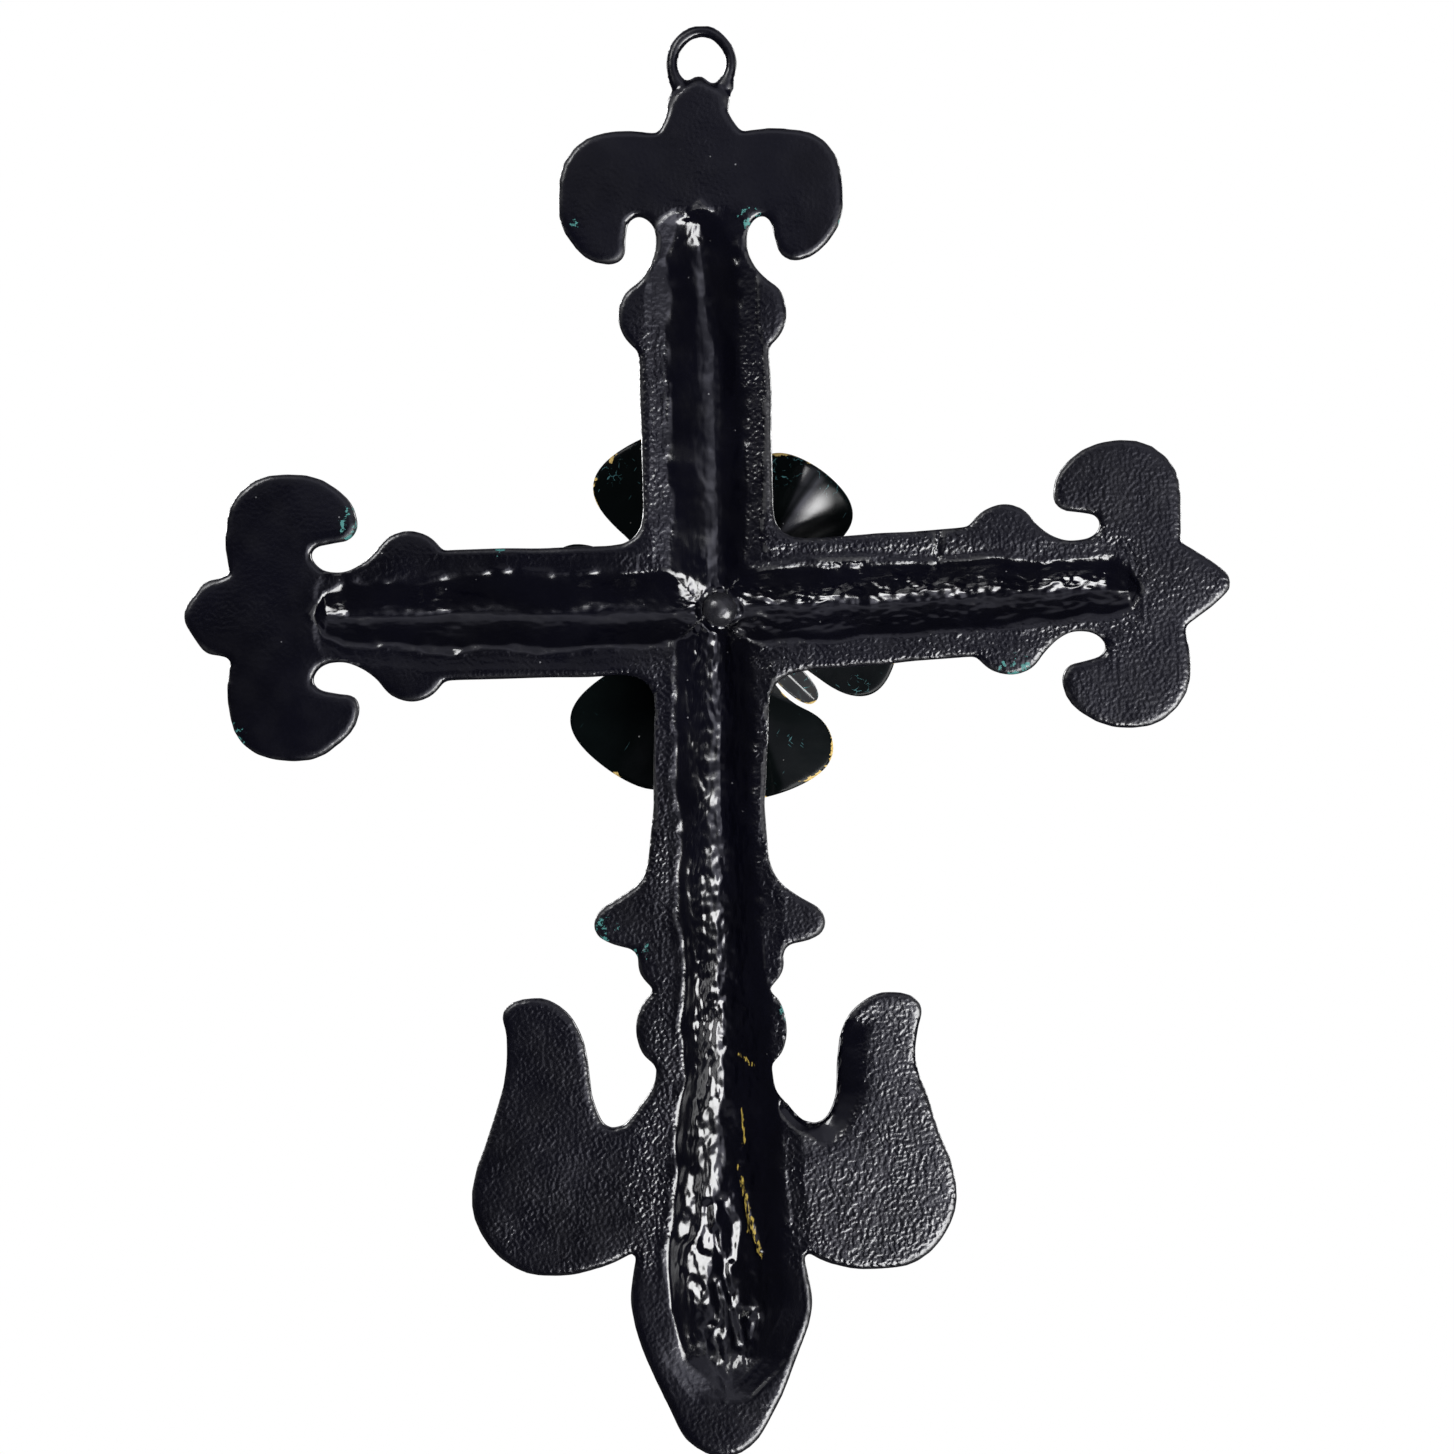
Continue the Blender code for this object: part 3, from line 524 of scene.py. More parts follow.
def lumpiness(name, along, out):
    """How lumpy the paint in an arm's channel is: more at the crossing and where the channel ends."""
    share = ARMS[name].lumps
    if name == "foot":
        share = share * (1 - 0.5 * hill(along - CALM_MIDDLE, CALM_LENGTH))
    share = np.maximum(share, CROSSING_LUMPS * hill(np.hypot(along, out), CROSSING_REACH))
    share = np.maximum(share, END_LUMPS * ramp(along, *END_STRETCH))
    return share * ramp(along - np.abs(out), -5 * MM, 0)


def lumps_along(along, out, cell, shift, seed):
    """Smooth noise from 0 to 1 along a channel, its cells given across and along in millimetres."""
    across, down = out / MM, along / MM
    return lattice_noise(np.column_stack((across / cell[0], down / cell[1], across * 0)) + shift, seed)


def runs_of_paint(inside, where, hollow, places, sizes):
    """Height of the lumps of paint along each channel, and of the runs that hang in the foot."""
    total = np.zeros(len(inside))
    for seed, (name, (along, out)) in enumerate(where.items()):
        own = lumpiness(name, along, out) * hollow
        broad = lumps_along(along, out, BROAD_LUMP, 5, 20 + seed)
        small = lumps_along(along, out, SMALL_LUMP, 9, 30 + seed)
        total += own * sizes.lumps * ((broad - 0.5) + SMALL_LUMP_SHARE * (small - 0.5))
    total *= ramp(inside, *LUMPS_START)
    wavy = np.column_stack((places[:, 0] / WAVE_CELLS[0], places[:, 1] / WAVE_CELLS[1], places[:, 0] * 0))
    bend = np.column_stack([lattice_noise(wavy + 3, 50 + axis) - 0.5 for axis in (0, 1)]) * WAVE_WIDTH
    for run in PAINT_RUNS:
        ridge = hill(line_distance(places + bend, run.line), run.width * MM)
        total += sizes.drips * run.height * MM * ridge * hollow
    return total


def edge_distance(points, walls, chosen):
    """Distance across the back from each chosen point to the nearest side wall."""
    tree = KDTree(int(walls.sum()))
    for index, (x, _, z) in enumerate(points[walls]):
        tree.insert((x, 0, z), index)
    tree.balance()
    return np.array([tree.find((x, 0, z))[2] for x, _, z in points[chosen]])


def crook_bevel(points, normals, inside, where):
    """The smooth bevel round the right crook, widest beside the horn."""
    along, out = where["foot"]
    walls = (np.abs(normals[:, 1]) < 0.3) & (points[:, 1] > 0) & (inside < -3 * MM)
    crook = (along > CROOK_START) & (along < CROOK_END) & (out > CROOK_NEAR) & (out < CROOK_FAR)
    chosen = np.flatnonzero(crook & (normals[:, 1] > 0.1))
    edge = edge_distance(points, walls, chosen)
    out, along = out[chosen], along[chosen]
    horn_side = ramp(out, *CROOK_HORN)
    width = (CROOK_WIDTH + CROOK_WIDTH_ADDED * horn_side) * MM
    start = CROOK_RISE_START + CROOK_RISE_LATER * (1 - horn_side)
    fade = ramp(along, start * MM, (start + CROOK_RISE) * MM) * (1 - ramp(out, *CROOK_OUTER_END))
    bevel = np.zeros(len(points))
    bevel[chosen] = np.clip(1 - edge / width, 0, 1) * fade
    return bevel


def carve(points, normals):
    """Moves the back's points down into the channels; says which they are, and where the channels are."""
    depth, inside, where = channel_depth(points)
    behind = (normals[:, 1] > -0.35) & (inside > -5 * MM)
    reach = BEHIND_REACH + BEHIND_REACH_ADDED * ramp(where["foot"][0], *BLADE_START)
    behind &= (BACK_Y - points[:, 1] < SKIN) | (inside > -reach)
    points[behind, 1] = BACK_Y - depth[behind]
    return behind, inside, where


def carve_casting(mesh):
    points = points_of(mesh)
    carve(points, normals_of(mesh))
    set_points(mesh, points)


def face_shift(points, broad, facing, hollow, bevel, inside, where, sizes):
    """How far the back outside the channels stands out of its flat plane; negative where it sinks."""
    patches = flat_noise(points, PATCH_CELL, 11, 8)
    bumps = flat_noise(points, LIP_CELL, 6, 15) - 0.5
    low_end = 1 - ramp(where["foot"][0], *PLAIN_LIP)
    bead = hill(inside + (0.6 + 0.8 * patches) * MM, BEAD_WIDTH)
    shift = -sizes.wobble * (0.2 + broad) * facing * (1 - hollow)
    shift += sizes.lip * bead * facing * (0.2 + patches) * low_end
    shift -= sizes.bevel * bevel * facing
    return shift + LIP_BUMP * bumps * hill(inside, LIP_BUMP_REACH) * facing * low_end


def flange_shift(where, facing):
    """The cold shut across the right arm's upper flange, and the flow lines along its lip."""
    along, out = where["right"]
    place = COLD_SHUT_PLACE + 0.12 * (out - 10 * MM)
    seam = hill(along - place, COLD_SHUT_WIDTH) * ramp(out, 5 * MM, 8 * MM) * facing
    cells = np.column_stack((along / FLOW_CELLS[0], out / FLOW_CELLS[1], out * 0))
    flow = lattice_noise(cells + 2, 14) - 0.5
    flow *= hill(along - FLOW_MIDDLE, FLOW_LENGTH) * hill(out - FLOW_OUT, FLOW_WIDTH)
    return FLOW_DEPTH * flow * facing - COLD_SHUT_DEPTH * seam


def swell_leaves(points, where):
    for swell in SWELLS:
        along, out = where[swell.arm]
        beside = out - swell.middle * MM
        wider = swell.share * beside * hill(along - swell.along * MM, swell.length * MM)
        wider *= np.abs(beside) < LEAF_HALF
        turn = math.radians(ARMS[swell.arm].direction)
        points[:, 0] += wider * math.sin(turn)
        points[:, 2] += wider * math.cos(turn)


def keep_masks(mesh, points, places, inside, where, broad, hollow, bevel):
    """Stores the masks that the casting's material reads, and the flow of its paint along each arm."""
    raised = convexity(mesh, points, normals_of(mesh))
    lumpy, flow = np.zeros(len(points)), np.zeros_like(points)
    for name, (along, out) in where.items():
        own = along > np.abs(out)
        lumpy = np.maximum(lumpy, lumpiness(name, along, out))
        flow[own] = np.column_stack((out, 0.6 * along, points[:, 1]))[own]
    down, right = where["foot"]
    lumpy *= ramp(inside, *LUMPS_START) * (1 - 0.4 * ramp(down, *CALMER_FOOT))
    kept_flow = mesh.attributes.new("flow", "FLOAT_VECTOR", "POINT")
    kept_flow.data.foreach_set("vector", flow.astype(np.float32).ravel())
    set_mask(mesh, "ripple", lumpy)
    set_mask(mesh, "edge", ramp(raised, *SHARP_EDGE))

    pointed_end = ramp(down, *POINTED_END)
    set_mask(mesh, "smooth_paint", np.maximum(hollow * (1 - 0.7 * pointed_end), ramp(bevel, 0.05, 0.2)))
    blade = ramp(down, *BLADE)
    right_lobe = ramp(right, *LOBE_OUT) * ramp(down, *LOBE_DOWN)
    beside_lips = hill(inside + BESIDE_LIP, BESIDE_LIP) * broad * (1 - blade)
    set_mask(mesh, "coarse", np.maximum(beside_lips, 0.3 * right_lobe))
    left_arm = ramp(-places[:, 0], *SATIN_LEFT) * ramp(places[:, 1], *SATIN_UP)
    satin = np.maximum(ramp(places[:, 1], *SATIN_TOP), left_arm)
    set_mask(mesh, "satin", np.maximum(satin, 0.6 * blade))
    streaks = np.min([line_distance(places, line) for line in GOLD_STREAKS], axis=0)
    set_mask(mesh, "gold_place", (1 - ramp(streaks, *STREAK_WIDTH)) * hollow)


def sculpt_casting(mesh, sizes):
    """Gives the back its uneven face, its paint and its masks; says how much thinning spares each point."""
    points, normals = points_of(mesh), normals_of(mesh)
    bevel = crook_bevel(points, normals, *channel_depth(points)[1:])
    behind, inside, where = carve(points, normals)
    hollow = ramp(inside, -1.2 * MM, 0.8 * MM) * behind
    facing = ramp(normals[:, 1], 0.0, 0.5)
    broad = flat_noise(points, BROAD_CELL, 7, 3) * 0.65 + flat_noise(points, MIDDLE_CELL, 3, 5) * 0.35

    shift = face_shift(points, broad, facing, hollow, bevel, inside, where, sizes)
    shift += flange_shift(where, facing)
    down, right = where["foot"]
    shift -= sizes.bend * np.maximum(right - BEND_FROM, 0) * ramp(down, *BEND_STRETCH)
    points[:, 1] += shift
    loose = [flat_noise(points, OUTLINE_CELL, 5, 70 + axis) - 0.5 for axis in (0, 1)]
    points[:, 0] += 2 * sizes.unevenness * loose[0]
    points[:, 2] += 2 * sizes.unevenness * loose[1]
    swell_leaves(points, where)
    set_points(mesh, points)

    places = np.column_stack((-points[:, 0], points[:, 2] + RING_DROP))
    points += normals_of(mesh) * runs_of_paint(inside, where, hollow, places, sizes)[:, None]
    set_points(mesh, np.clip(points, *np.array(CAD_BOX)))
    keep_masks(mesh, points, places, inside, where, broad, hollow, bevel)
    return hill(np.minimum(inside + 1 * MM, 0), SPARED_REACH) * ramp(normals[:, 1], -0.3, 0.1)


def thinned(piece, kept, most):
    """Takes faces away where the casting is plain, down to this many triangles; spares the kept points."""
    count = sum(len(face.vertices) - 2 for face in piece.data.polygons)
    if count > most:
        plain = piece.vertex_groups.new(name="plain")
        for step in range(11):
            chosen = np.flatnonzero(np.round(kept * 10) == step)
            if len(chosen):
                plain.add(chosen.tolist(), 1 - step / 10, "REPLACE")
        thin = piece.modifiers.new("thin", "DECIMATE")
        thin.ratio = most / count
        thin.vertex_group = "plain"
        thin.vertex_group_factor = 1.0
        settled(piece)
        piece.vertex_groups.clear()
    return piece


# Helpers for shader and geometry trees


def link(tree, source, target):
    tree.links.new(source, target)


def plug(tree, value, socket):
    """Links a socket's output into another, or sets a plain value."""
    if isinstance(value, bpy.types.NodeSocket):
        link(tree, value, socket)
    else:
        socket.default_value = value


def added(tree, kind, **values):
    """A node of this kind, its inputs given by name, with spaces as underscores."""
    node = tree.nodes.new(kind)
    for label, value in values.items():
        plug(tree, value, node.inputs[label.replace("_", " ")])
    return node


def maths(tree, operation, first, second=0.5):
    node = tree.nodes.new("ShaderNodeMath")
    node.operation = operation
    for socket, value in zip(node.inputs, (first, second)):
        plug(tree, value, socket)
    return node.outputs[0]


def times(tree, first, second):
    return maths(tree, "MULTIPLY", first, second)


def plus(tree, first, second):
    return maths(tree, "ADD", first, second)


def ramped(tree, value, low, high, to_low=0.0, to_high=1.0):
    """A value spread smoothly from one range to another."""
    node = tree.nodes.new("ShaderNodeMapRange")
    node.interpolation_type = "SMOOTHSTEP"
    link(tree, value, node.inputs["Value"])
    for label, number in zip(("From Min", "From Max", "To Min", "To Max"), (low, high, to_low, to_high)):
        plug(tree, number, node.inputs[label])
    return node.outputs["Result"]


def noise(tree, vector, size, detail=2.0, roughness=0.5):
    """Noise whose features are about this size, in metres."""
    node = tree.nodes.new("ShaderNodeTexNoise")
    node.inputs["Detail"].default_value = detail
    node.inputs["Roughness"].default_value = roughness
    scale = maths(tree, "DIVIDE", 1.0, size) if isinstance(size, bpy.types.NodeSocket) else 1 / size
    plug(tree, scale, node.inputs["Scale"])
    link(tree, vector, node.inputs["Vector"])
    return node.outputs["Fac"]


def mixed(tree, share, first, second):
    """A colour between two, each a colour or a socket."""
    node = tree.nodes.new("ShaderNodeMix")
    node.data_type = "RGBA"
    link(tree, share, node.inputs[0])
    for socket, colour in ((node.inputs[6], first), (node.inputs[7], second)):
        if isinstance(colour, bpy.types.NodeSocket):
            link(tree, colour, socket)
        else:
            socket.default_value = (*colour, 1)
    return node.outputs[2]


def new_group(name, inputs, outputs):
    """An empty shader group; inputs and outputs are (name, socket type, default) and (name, socket type)."""
    group = bpy.data.node_groups.new(name, "ShaderNodeTree")
    for label, kind, default in inputs:
        socket = group.interface.new_socket(label, in_out="INPUT", socket_type=kind)
        if default is not None:
            socket.default_value = default
    for label, kind in outputs:
        group.interface.new_socket(label, in_out="OUTPUT", socket_type=kind)
    return group, group.nodes.new("NodeGroupInput"), group.nodes.new("NodeGroupOutput")


def placed(tree, group, **values):
    """A group in a material, its inputs given by name."""
    node = tree.nodes.new("ShaderNodeGroup")
    node.node_tree = group
    for label, value in values.items():
        plug(tree, value, node.inputs[label.capitalize()])
    return node.outputs


def grain_group():
    """Sand-cast grain under paint: rounded pebbles with finer ones between them."""
    group, start, end = new_group(
        "sand_grain",
        [("Vector", "NodeSocketVector", None), ("Size", "NodeSocketFloat", 1.3 * MM)],
        [("Height", "NodeSocketFloat")],
    )
    vector, size = start.outputs["Vector"], start.outputs["Size"]
    pebbles = ramped(group, noise(group, vector, size, 0.5), 0.25, 0.75)
    fine = noise(group, vector, times(group, size, 0.45), 1.5)
    broad = noise(group, vector, times(group, size, 5.0), 1.0)
    strong = ramped(group, broad, 0.3, 0.7, 0.55, 1.0)
    total = plus(group, times(group, pebbles, strong), times(group, fine, 0.2))
    link(group, total, end.inputs["Height"])
    return group


def chips_group():
    """Where the top coat has come off: along edges, inside the places that are asked for."""
    group, start, end = new_group(
        "chips",
        [
            ("Vector", "NodeSocketVector", None),
            ("Edge", "NodeSocketFloat", 0.0),
            ("Place", "NodeSocketFloat", 0.0),
            ("Size", "NodeSocketFloat", 1.6 * MM),
        ],
        [("Mask", "NodeSocketFloat")],
    )
    flakes = noise(group, start.outputs["Vector"], start.outputs["Size"], 4.0, 0.65)
    reach = plus(group, times(group, start.outputs["Edge"], 0.16), flakes)
    reach = times(group, reach, start.outputs["Place"])
    link(group, ramped(group, reach, 0.56, 0.60), end.inputs["Mask"])
    return group


def scratches_group():
    """Thin scattered scratches in one direction across a surface."""
    group, start, end = new_group(
        "scratches",
        [
            ("Vector", "NodeSocketVector", None),
            ("Turn", "NodeSocketFloat", 0.0),
            ("Amount", "NodeSocketFloat", 0.5),
        ],
        [("Mask", "NodeSocketFloat")],
    )
    bend = group.nodes.new("ShaderNodeVectorRotate")
    bend.rotation_type = "Y_AXIS"
    link(group, start.outputs["Vector"], bend.inputs["Vector"])
    link(group, start.outputs["Turn"], bend.inputs["Angle"])
    stretch = group.nodes.new("ShaderNodeVectorMath")
    stretch.operation = "MULTIPLY"
    stretch.inputs[1].default_value = (1.0, 1.0, 0.07)
    link(group, bend.outputs[0], stretch.inputs[0])
    lines = noise(group, stretch.outputs[0], 0.55 * MM, 1.0)
    breaks = noise(group, start.outputs["Vector"], 7 * MM, 1.0)
    total = times(group, ramped(group, lines, 0.735, 0.76), ramped(group, breaks, 0.5, 0.58))
    link(group, times(group, total, start.outputs["Amount"]), end.inputs["Mask"])
    return group


def dust_group():
    """Scattered pale specks of dust."""
    group, start, end = new_group(
        "dust",
        [("Vector", "NodeSocketVector", None), ("Amount", "NodeSocketFloat", 0.5)],
        [("Mask", "NodeSocketFloat")],
    )
    cells = group.nodes.new("ShaderNodeTexVoronoi")
    cells.inputs["Scale"].default_value = 1 / (4.5 * MM)
    link(group, start.outputs["Vector"], cells.inputs["Vector"])
    specks = ramped(group, cells.outputs["Distance"], 0.035, 0.06, 1.0, 0.0)
    sparse = ramped(group, noise(group, start.outputs["Vector"], 11 * MM, 1.0), 0.5, 0.62)
    total = times(group, specks, sparse)
    link(group, times(group, total, start.outputs["Amount"]), end.inputs["Mask"])
    return group


def cracks_group():
    """Fine branching cracks through the top coat, inside the places that are asked for."""
    group, start, end = new_group(
        "cracks",
        [
            ("Vector", "NodeSocketVector", None),
            ("Place", "NodeSocketFloat", 0.0),
            ("Size", "NodeSocketFloat", 3 * MM),
        ],
        [("Mask", "NodeSocketFloat")],
    )
    bent = added(group, "ShaderNodeTexNoise", Vector=start.outputs["Vector"], Scale=1 / (2.5 * MM))
    spread = added(group, "ShaderNodeVectorMath")
    spread.operation = "SCALE"
    link(group, bent.outputs["Color"], spread.inputs[0])
    spread.inputs["Scale"].default_value = 3.2 * MM
    moved = added(group, "ShaderNodeVectorMath")
    link(group, start.outputs["Vector"], moved.inputs[0])
    link(group, spread.outputs[0], moved.inputs[1])
    cells = added(group, "ShaderNodeTexVoronoi")
    cells.feature = "DISTANCE_TO_EDGE"
    link(group, moved.outputs[0], cells.inputs["Vector"])
    link(group, maths(group, "DIVIDE", 1.0, start.outputs["Size"]), cells.inputs["Scale"])
    breaks = ramped(group, noise(group, start.outputs["Vector"], 1.8 * MM, 2.0), 0.45, 0.60, 0.0, 0.035)
    width = times(group, breaks, start.outputs["Place"])
    lines = maths(group, "LESS_THAN", cells.outputs["Distance"], width)
    link(group, lines, end.inputs["Mask"])
    return group


def shared_groups():
    """The shader groups that more than one finish uses, made once."""
    makers = {
        "sand_grain": grain_group,
        "chips": chips_group,
        "scratches": scratches_group,
        "dust": dust_group,
        "cracks": cracks_group,
    }
    return {name: bpy.data.node_groups.get(name) or make() for name, make in makers.items()}


def new_finish(name):
    """An empty material: its tree, its Principled shader and its Object coordinates."""
    finish = bpy.data.materials.new(name)
    finish.use_nodes = True
    tree = finish.node_tree
    where = tree.nodes.new("ShaderNodeTexCoord").outputs["Object"]
    return finish, tree, tree.nodes["Principled BSDF"], where


def attribute(tree, name):
    node = tree.nodes.new("ShaderNodeAttribute")
    node.attribute_name = name
    return node.outputs["Fac"]


def spot(tree, where, centre, radius, soft):
    """A round place about a point, given in millimetres from the crossing to the right and up."""
    flat = added(tree, "ShaderNodeVectorMath")
    flat.operation = "MULTIPLY"
    flat.inputs[1].default_value = (1, 0, 1)
    link(tree, where, flat.inputs[0])
    node = added(tree, "ShaderNodeVectorMath")
    node.operation = "DISTANCE"
    link(tree, flat.outputs[0], node.inputs[0])
    node.inputs[1].default_value = (-centre[0] * MM, 0, centre[1] * MM - RING_DROP)
    return ramped(tree, node.outputs["Value"], radius * MM * (1 - soft), radius * MM, 1.0, 0.0)


def union(tree, masks):
    total = masks[0]
    for mask in masks[1:]:
        total = maths(tree, "MAXIMUM", total, mask)
    return total


def places_of(tree, where, places, soft):
    """Round places with soft edges, from rows of right, up and radius in millimetres."""
    return union(tree, [spot(tree, where, (right, up), radius, soft) for right, up, radius in places])


def bump(tree, height, strength, distance, normal=None):
    node = tree.nodes.new("ShaderNodeBump")
    node.inputs["Strength"].default_value = strength
    node.inputs["Distance"].default_value = distance
    link(tree, height, node.inputs["Height"])
    if normal is not None:
        link(tree, normal, node.inputs["Normal"])
    return node.outputs["Normal"]


# Where the green undercoat shows on the casting: right and up from the crossing, and the radius, in
# millimetres
GREEN_PLACES = (
    (-85.3, 22.0, 7.5),
    (-116.0, -29.0, 7.0),
    (-51.0, 15.5, 3.5),
    (11.0, 94.0, 5.0),
    (73.0, -15.5, 7.0),
    (-25.5, -76.0, 5.5),
    (-17.5, -82.0, 4.0),
    (34.0, 92.0, 3.0),
    (-31.0, 93.0, 2.0),
    (17.0, -97.0, 3.5),
)


CASTING_DUST = (0.35, 0.35, 0.36)
SHEET_DUST = (0.4, 0.4, 0.38)
RIVET_DUST = (0.4, 0.4, 0.4)
RIVET_TONES = ((0.008, 0.008, 0.010), (0.016, 0.016, 0.018))
FLOOR_TONES = ((0.80, 0.80, 0.80), (0.84, 0.84, 0.84))
SURROUND_TINT = (0.84, 0.84, 1.0)


def casting_finish(settings):
    finish, tree, shader, where = new_finish("casting_enamel")
    groups = shared_groups()
    edge, smooth = attribute(tree, "edge"), attribute(tree, "smooth_paint")
    rough_face = maths(tree, "SUBTRACT", 1.0, smooth)

    green = places_of(tree, where, GREEN_PLACES, 0.5)
    green = placed(tree, groups["chips"], vector=where, edge=edge, place=green)["Mask"]
    stretch = added(tree, "ShaderNodeMapping", Vector=where, Scale=(1, 1, 0.25))
    flakes = plus(tree, noise(tree, stretch.outputs[0], 0.5 * MM, 3.0), attribute(tree, "gold_place"))
    gold = ramped(tree, flakes, 1.46, 1.58)

    tint = noise(tree, where, 22 * MM, 2.0)
    enamel = tuple(settings.enamel)
    warm = tuple(level * 1.5 for level in enamel)
    colour = mixed(tree, ramped(tree, tint, 0.35, 0.65), enamel, warm)
    colour = mixed(tree, green, colour, tuple(settings.undercoat))
    colour = mixed(tree, gold, colour, tuple(settings.old_gold))
    dust = placed(tree, groups["dust"], vector=where, amount=0.35)["Mask"]
    colour = mixed(tree, dust, colour, CASTING_DUST)
    link(tree, colour, shader.inputs["Base Color"])

    patchy = noise(tree, where, 6 * MM, 3.0)
    dull = ramped(tree, patchy, 0.3, 0.7, 0.18, 0.24)
    dull = maths(tree, "SUBTRACT", dull, times(tree, attribute(tree, "satin"), 0.04))
    dull = plus(tree, dull, times(tree, ramped(tree, edge, 0.0, 0.35), 0.40))
    gloss = ramped(tree, patchy, 0.3, 0.7, 0.12, 0.20)
    blend = tree.nodes.new("ShaderNodeMix")
    link(tree, smooth, blend.inputs[0])
    link(tree, dull, blend.inputs[2])
    link(tree, gloss, blend.inputs[3])
    roughness = maths(tree, "MAXIMUM", blend.outputs[0], times(tree, green, 0.6))
    link(tree, roughness, shader.inputs["Roughness"])

    grain = placed(tree, groups["sand_grain"], vector=where, size=0.95 * MM)["Height"]
    grain = times(tree, grain, ramped(tree, rough_face, 0.0, 1.0, 0.04, 1.0))
    grain = times(tree, grain, ramped(tree, attribute(tree, "coarse"), 0.0, 0.7, 0.7, 1.8))
    grain = times(tree, grain, ramped(tree, attribute(tree, "satin"), 0.0, 1.0, 1.0, 0.22))
    first = bump(tree, grain, 0.45, 0.20 * MM)
    flow = tree.nodes.new("ShaderNodeAttribute")
    flow.attribute_name = "flow"
    wide = times(tree, noise(tree, flow.outputs["Vector"], 3.6 * MM, 0.0), 0.9)
    ripple = plus(tree, noise(tree, flow.outputs["Vector"], 1.4 * MM, 0.0), wide)
    ripple = times(tree, ripple, attribute(tree, "ripple"))
    link(tree, bump(tree, ripple, 0.8, 0.55 * MM, first), shader.inputs["Normal"])
    return finish


# Where fine cracks show on the petals: right and up from the crossing, and the radius, in millimetres
CRACKED_PLACES = (
    (19.0, 34.5, 5.5),
    (30.5, 31.5, 5.0),
    (-24.0, 35.0, 4.5),
    (24.0, -18.5, 4.5),
    (36.0, -19.0, 3.5),
)

# Where the enamel of one petal is thick and glossy, in the same measures
GLOSSY_PLACES = ((24.5, 32.0, 4.5), (24.5, 26.0, 7.0), (25.0, 19.0, 8.5))


def sheet_finish(settings, name, enamel, shine):
    finish, tree, shader, where = new_finish(name)
    groups = shared_groups()
    edge = attribute(tree, "edge")
    place = times(tree, ramped(tree, noise(tree, where, 10 * MM, 1.0), 0.50, 0.60), edge)
    gold = placed(tree, groups["chips"], vector=where, edge=edge, place=place, size=2.2 * MM)["Mask"]
    first = placed(tree, groups["scratches"], vector=where, turn=0.6, amount=0.9)["Mask"]
    second = placed(tree, groups["scratches"], vector=where, turn=-0.9, amount=0.7)["Mask"]
    cracked = places_of(tree, where, CRACKED_PLACES, 0.9)
    cracks = placed(tree, groups["cracks"], vector=where, place=cracked)["Mask"]
    marks = union(tree, [first, second, cracks])
    shader.inputs["Specular IOR Level"].default_value = shine
    glossy = places_of(tree, where, GLOSSY_PLACES, 0.8)
    link(tree, glossy, shader.inputs["Coat Weight"])
    shader.inputs["Coat Roughness"].default_value = 0.16
    tint = noise(tree, where, 16 * MM, 2.0)
    colour = mixed(tree, ramped(tree, tint, 0.35, 0.65), enamel, tuple(level * 1.6 for level in enamel))
    colour = mixed(tree, marks, colour, tuple(settings.undercoat))
    colour = mixed(tree, gold, colour, tuple(settings.gold))
    dust = placed(tree, groups["dust"], vector=where, amount=0.5)["Mask"]
    colour = mixed(tree, dust, colour, SHEET_DUST)
    link(tree, colour, shader.inputs["Base Color"])
    patchy = noise(tree, where, 5 * MM, 3.0)
    link(tree, ramped(tree, patchy, 0.3, 0.7, 0.13, 0.20), shader.inputs["Roughness"])
    fine = plus(tree, noise(tree, where, 5 * MM, 2.0), times(tree, marks, 0.3))
    link(tree, bump(tree, fine, 0.2, 0.3 * MM), shader.inputs["Normal"])
    return finish


def rivet_finish():
    finish, tree, shader, where = new_finish("rivet_enamel_coat")
    groups = shared_groups()
    dust = placed(tree, groups["dust"], vector=where, amount=0.5)["Mask"]
    tint = noise(tree, where, 3 * MM, 2.0)
    colour = mixed(tree, ramped(tree, tint, 0.3, 0.7), *RIVET_TONES)
    link(tree, mixed(tree, dust, colour, RIVET_DUST), shader.inputs["Base Color"])
    link(tree, ramped(tree, tint, 0.3, 0.7, 0.24, 0.34), shader.inputs["Roughness"])
    grain = placed(tree, groups["sand_grain"], vector=where, size=1.0 * MM)["Height"]
    link(tree, bump(tree, grain, 0.2, 0.2 * MM), shader.inputs["Normal"])
    return finish


# Pieces


def ready(piece, node, finish):
    """Gives a piece its finish, hides the CAD node it stands for and hangs it on the casting's body."""
    piece.data.materials.clear()
    piece.data.materials.append(finish)
    piece.data.shade_smooth()
    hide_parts(node)
    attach(piece, "root")


class CROSS_OT_casting(bpy.types.Operator):
    """Builds the enamelled iron casting from the solid, with its lips, lumps and runs of paint"""

    bl_idname = "cross.casting"
    bl_label = "Iron casting"

    def execute(self, context):
        sizes = context.scene.cross_casting
        piece = regridded(welded_copy("cast_cross", "iron_casting"), sizes.grid, sizes.softening)
        carve_casting(piece.data)
        regridded(piece, sizes.grid, 1)
        kept = sculpt_casting(piece.data, sizes)
        thinned(piece, kept, MOST_FACES)
        ready(piece, "cast_cross", casting_finish(sizes))
        return {"FINISHED"}


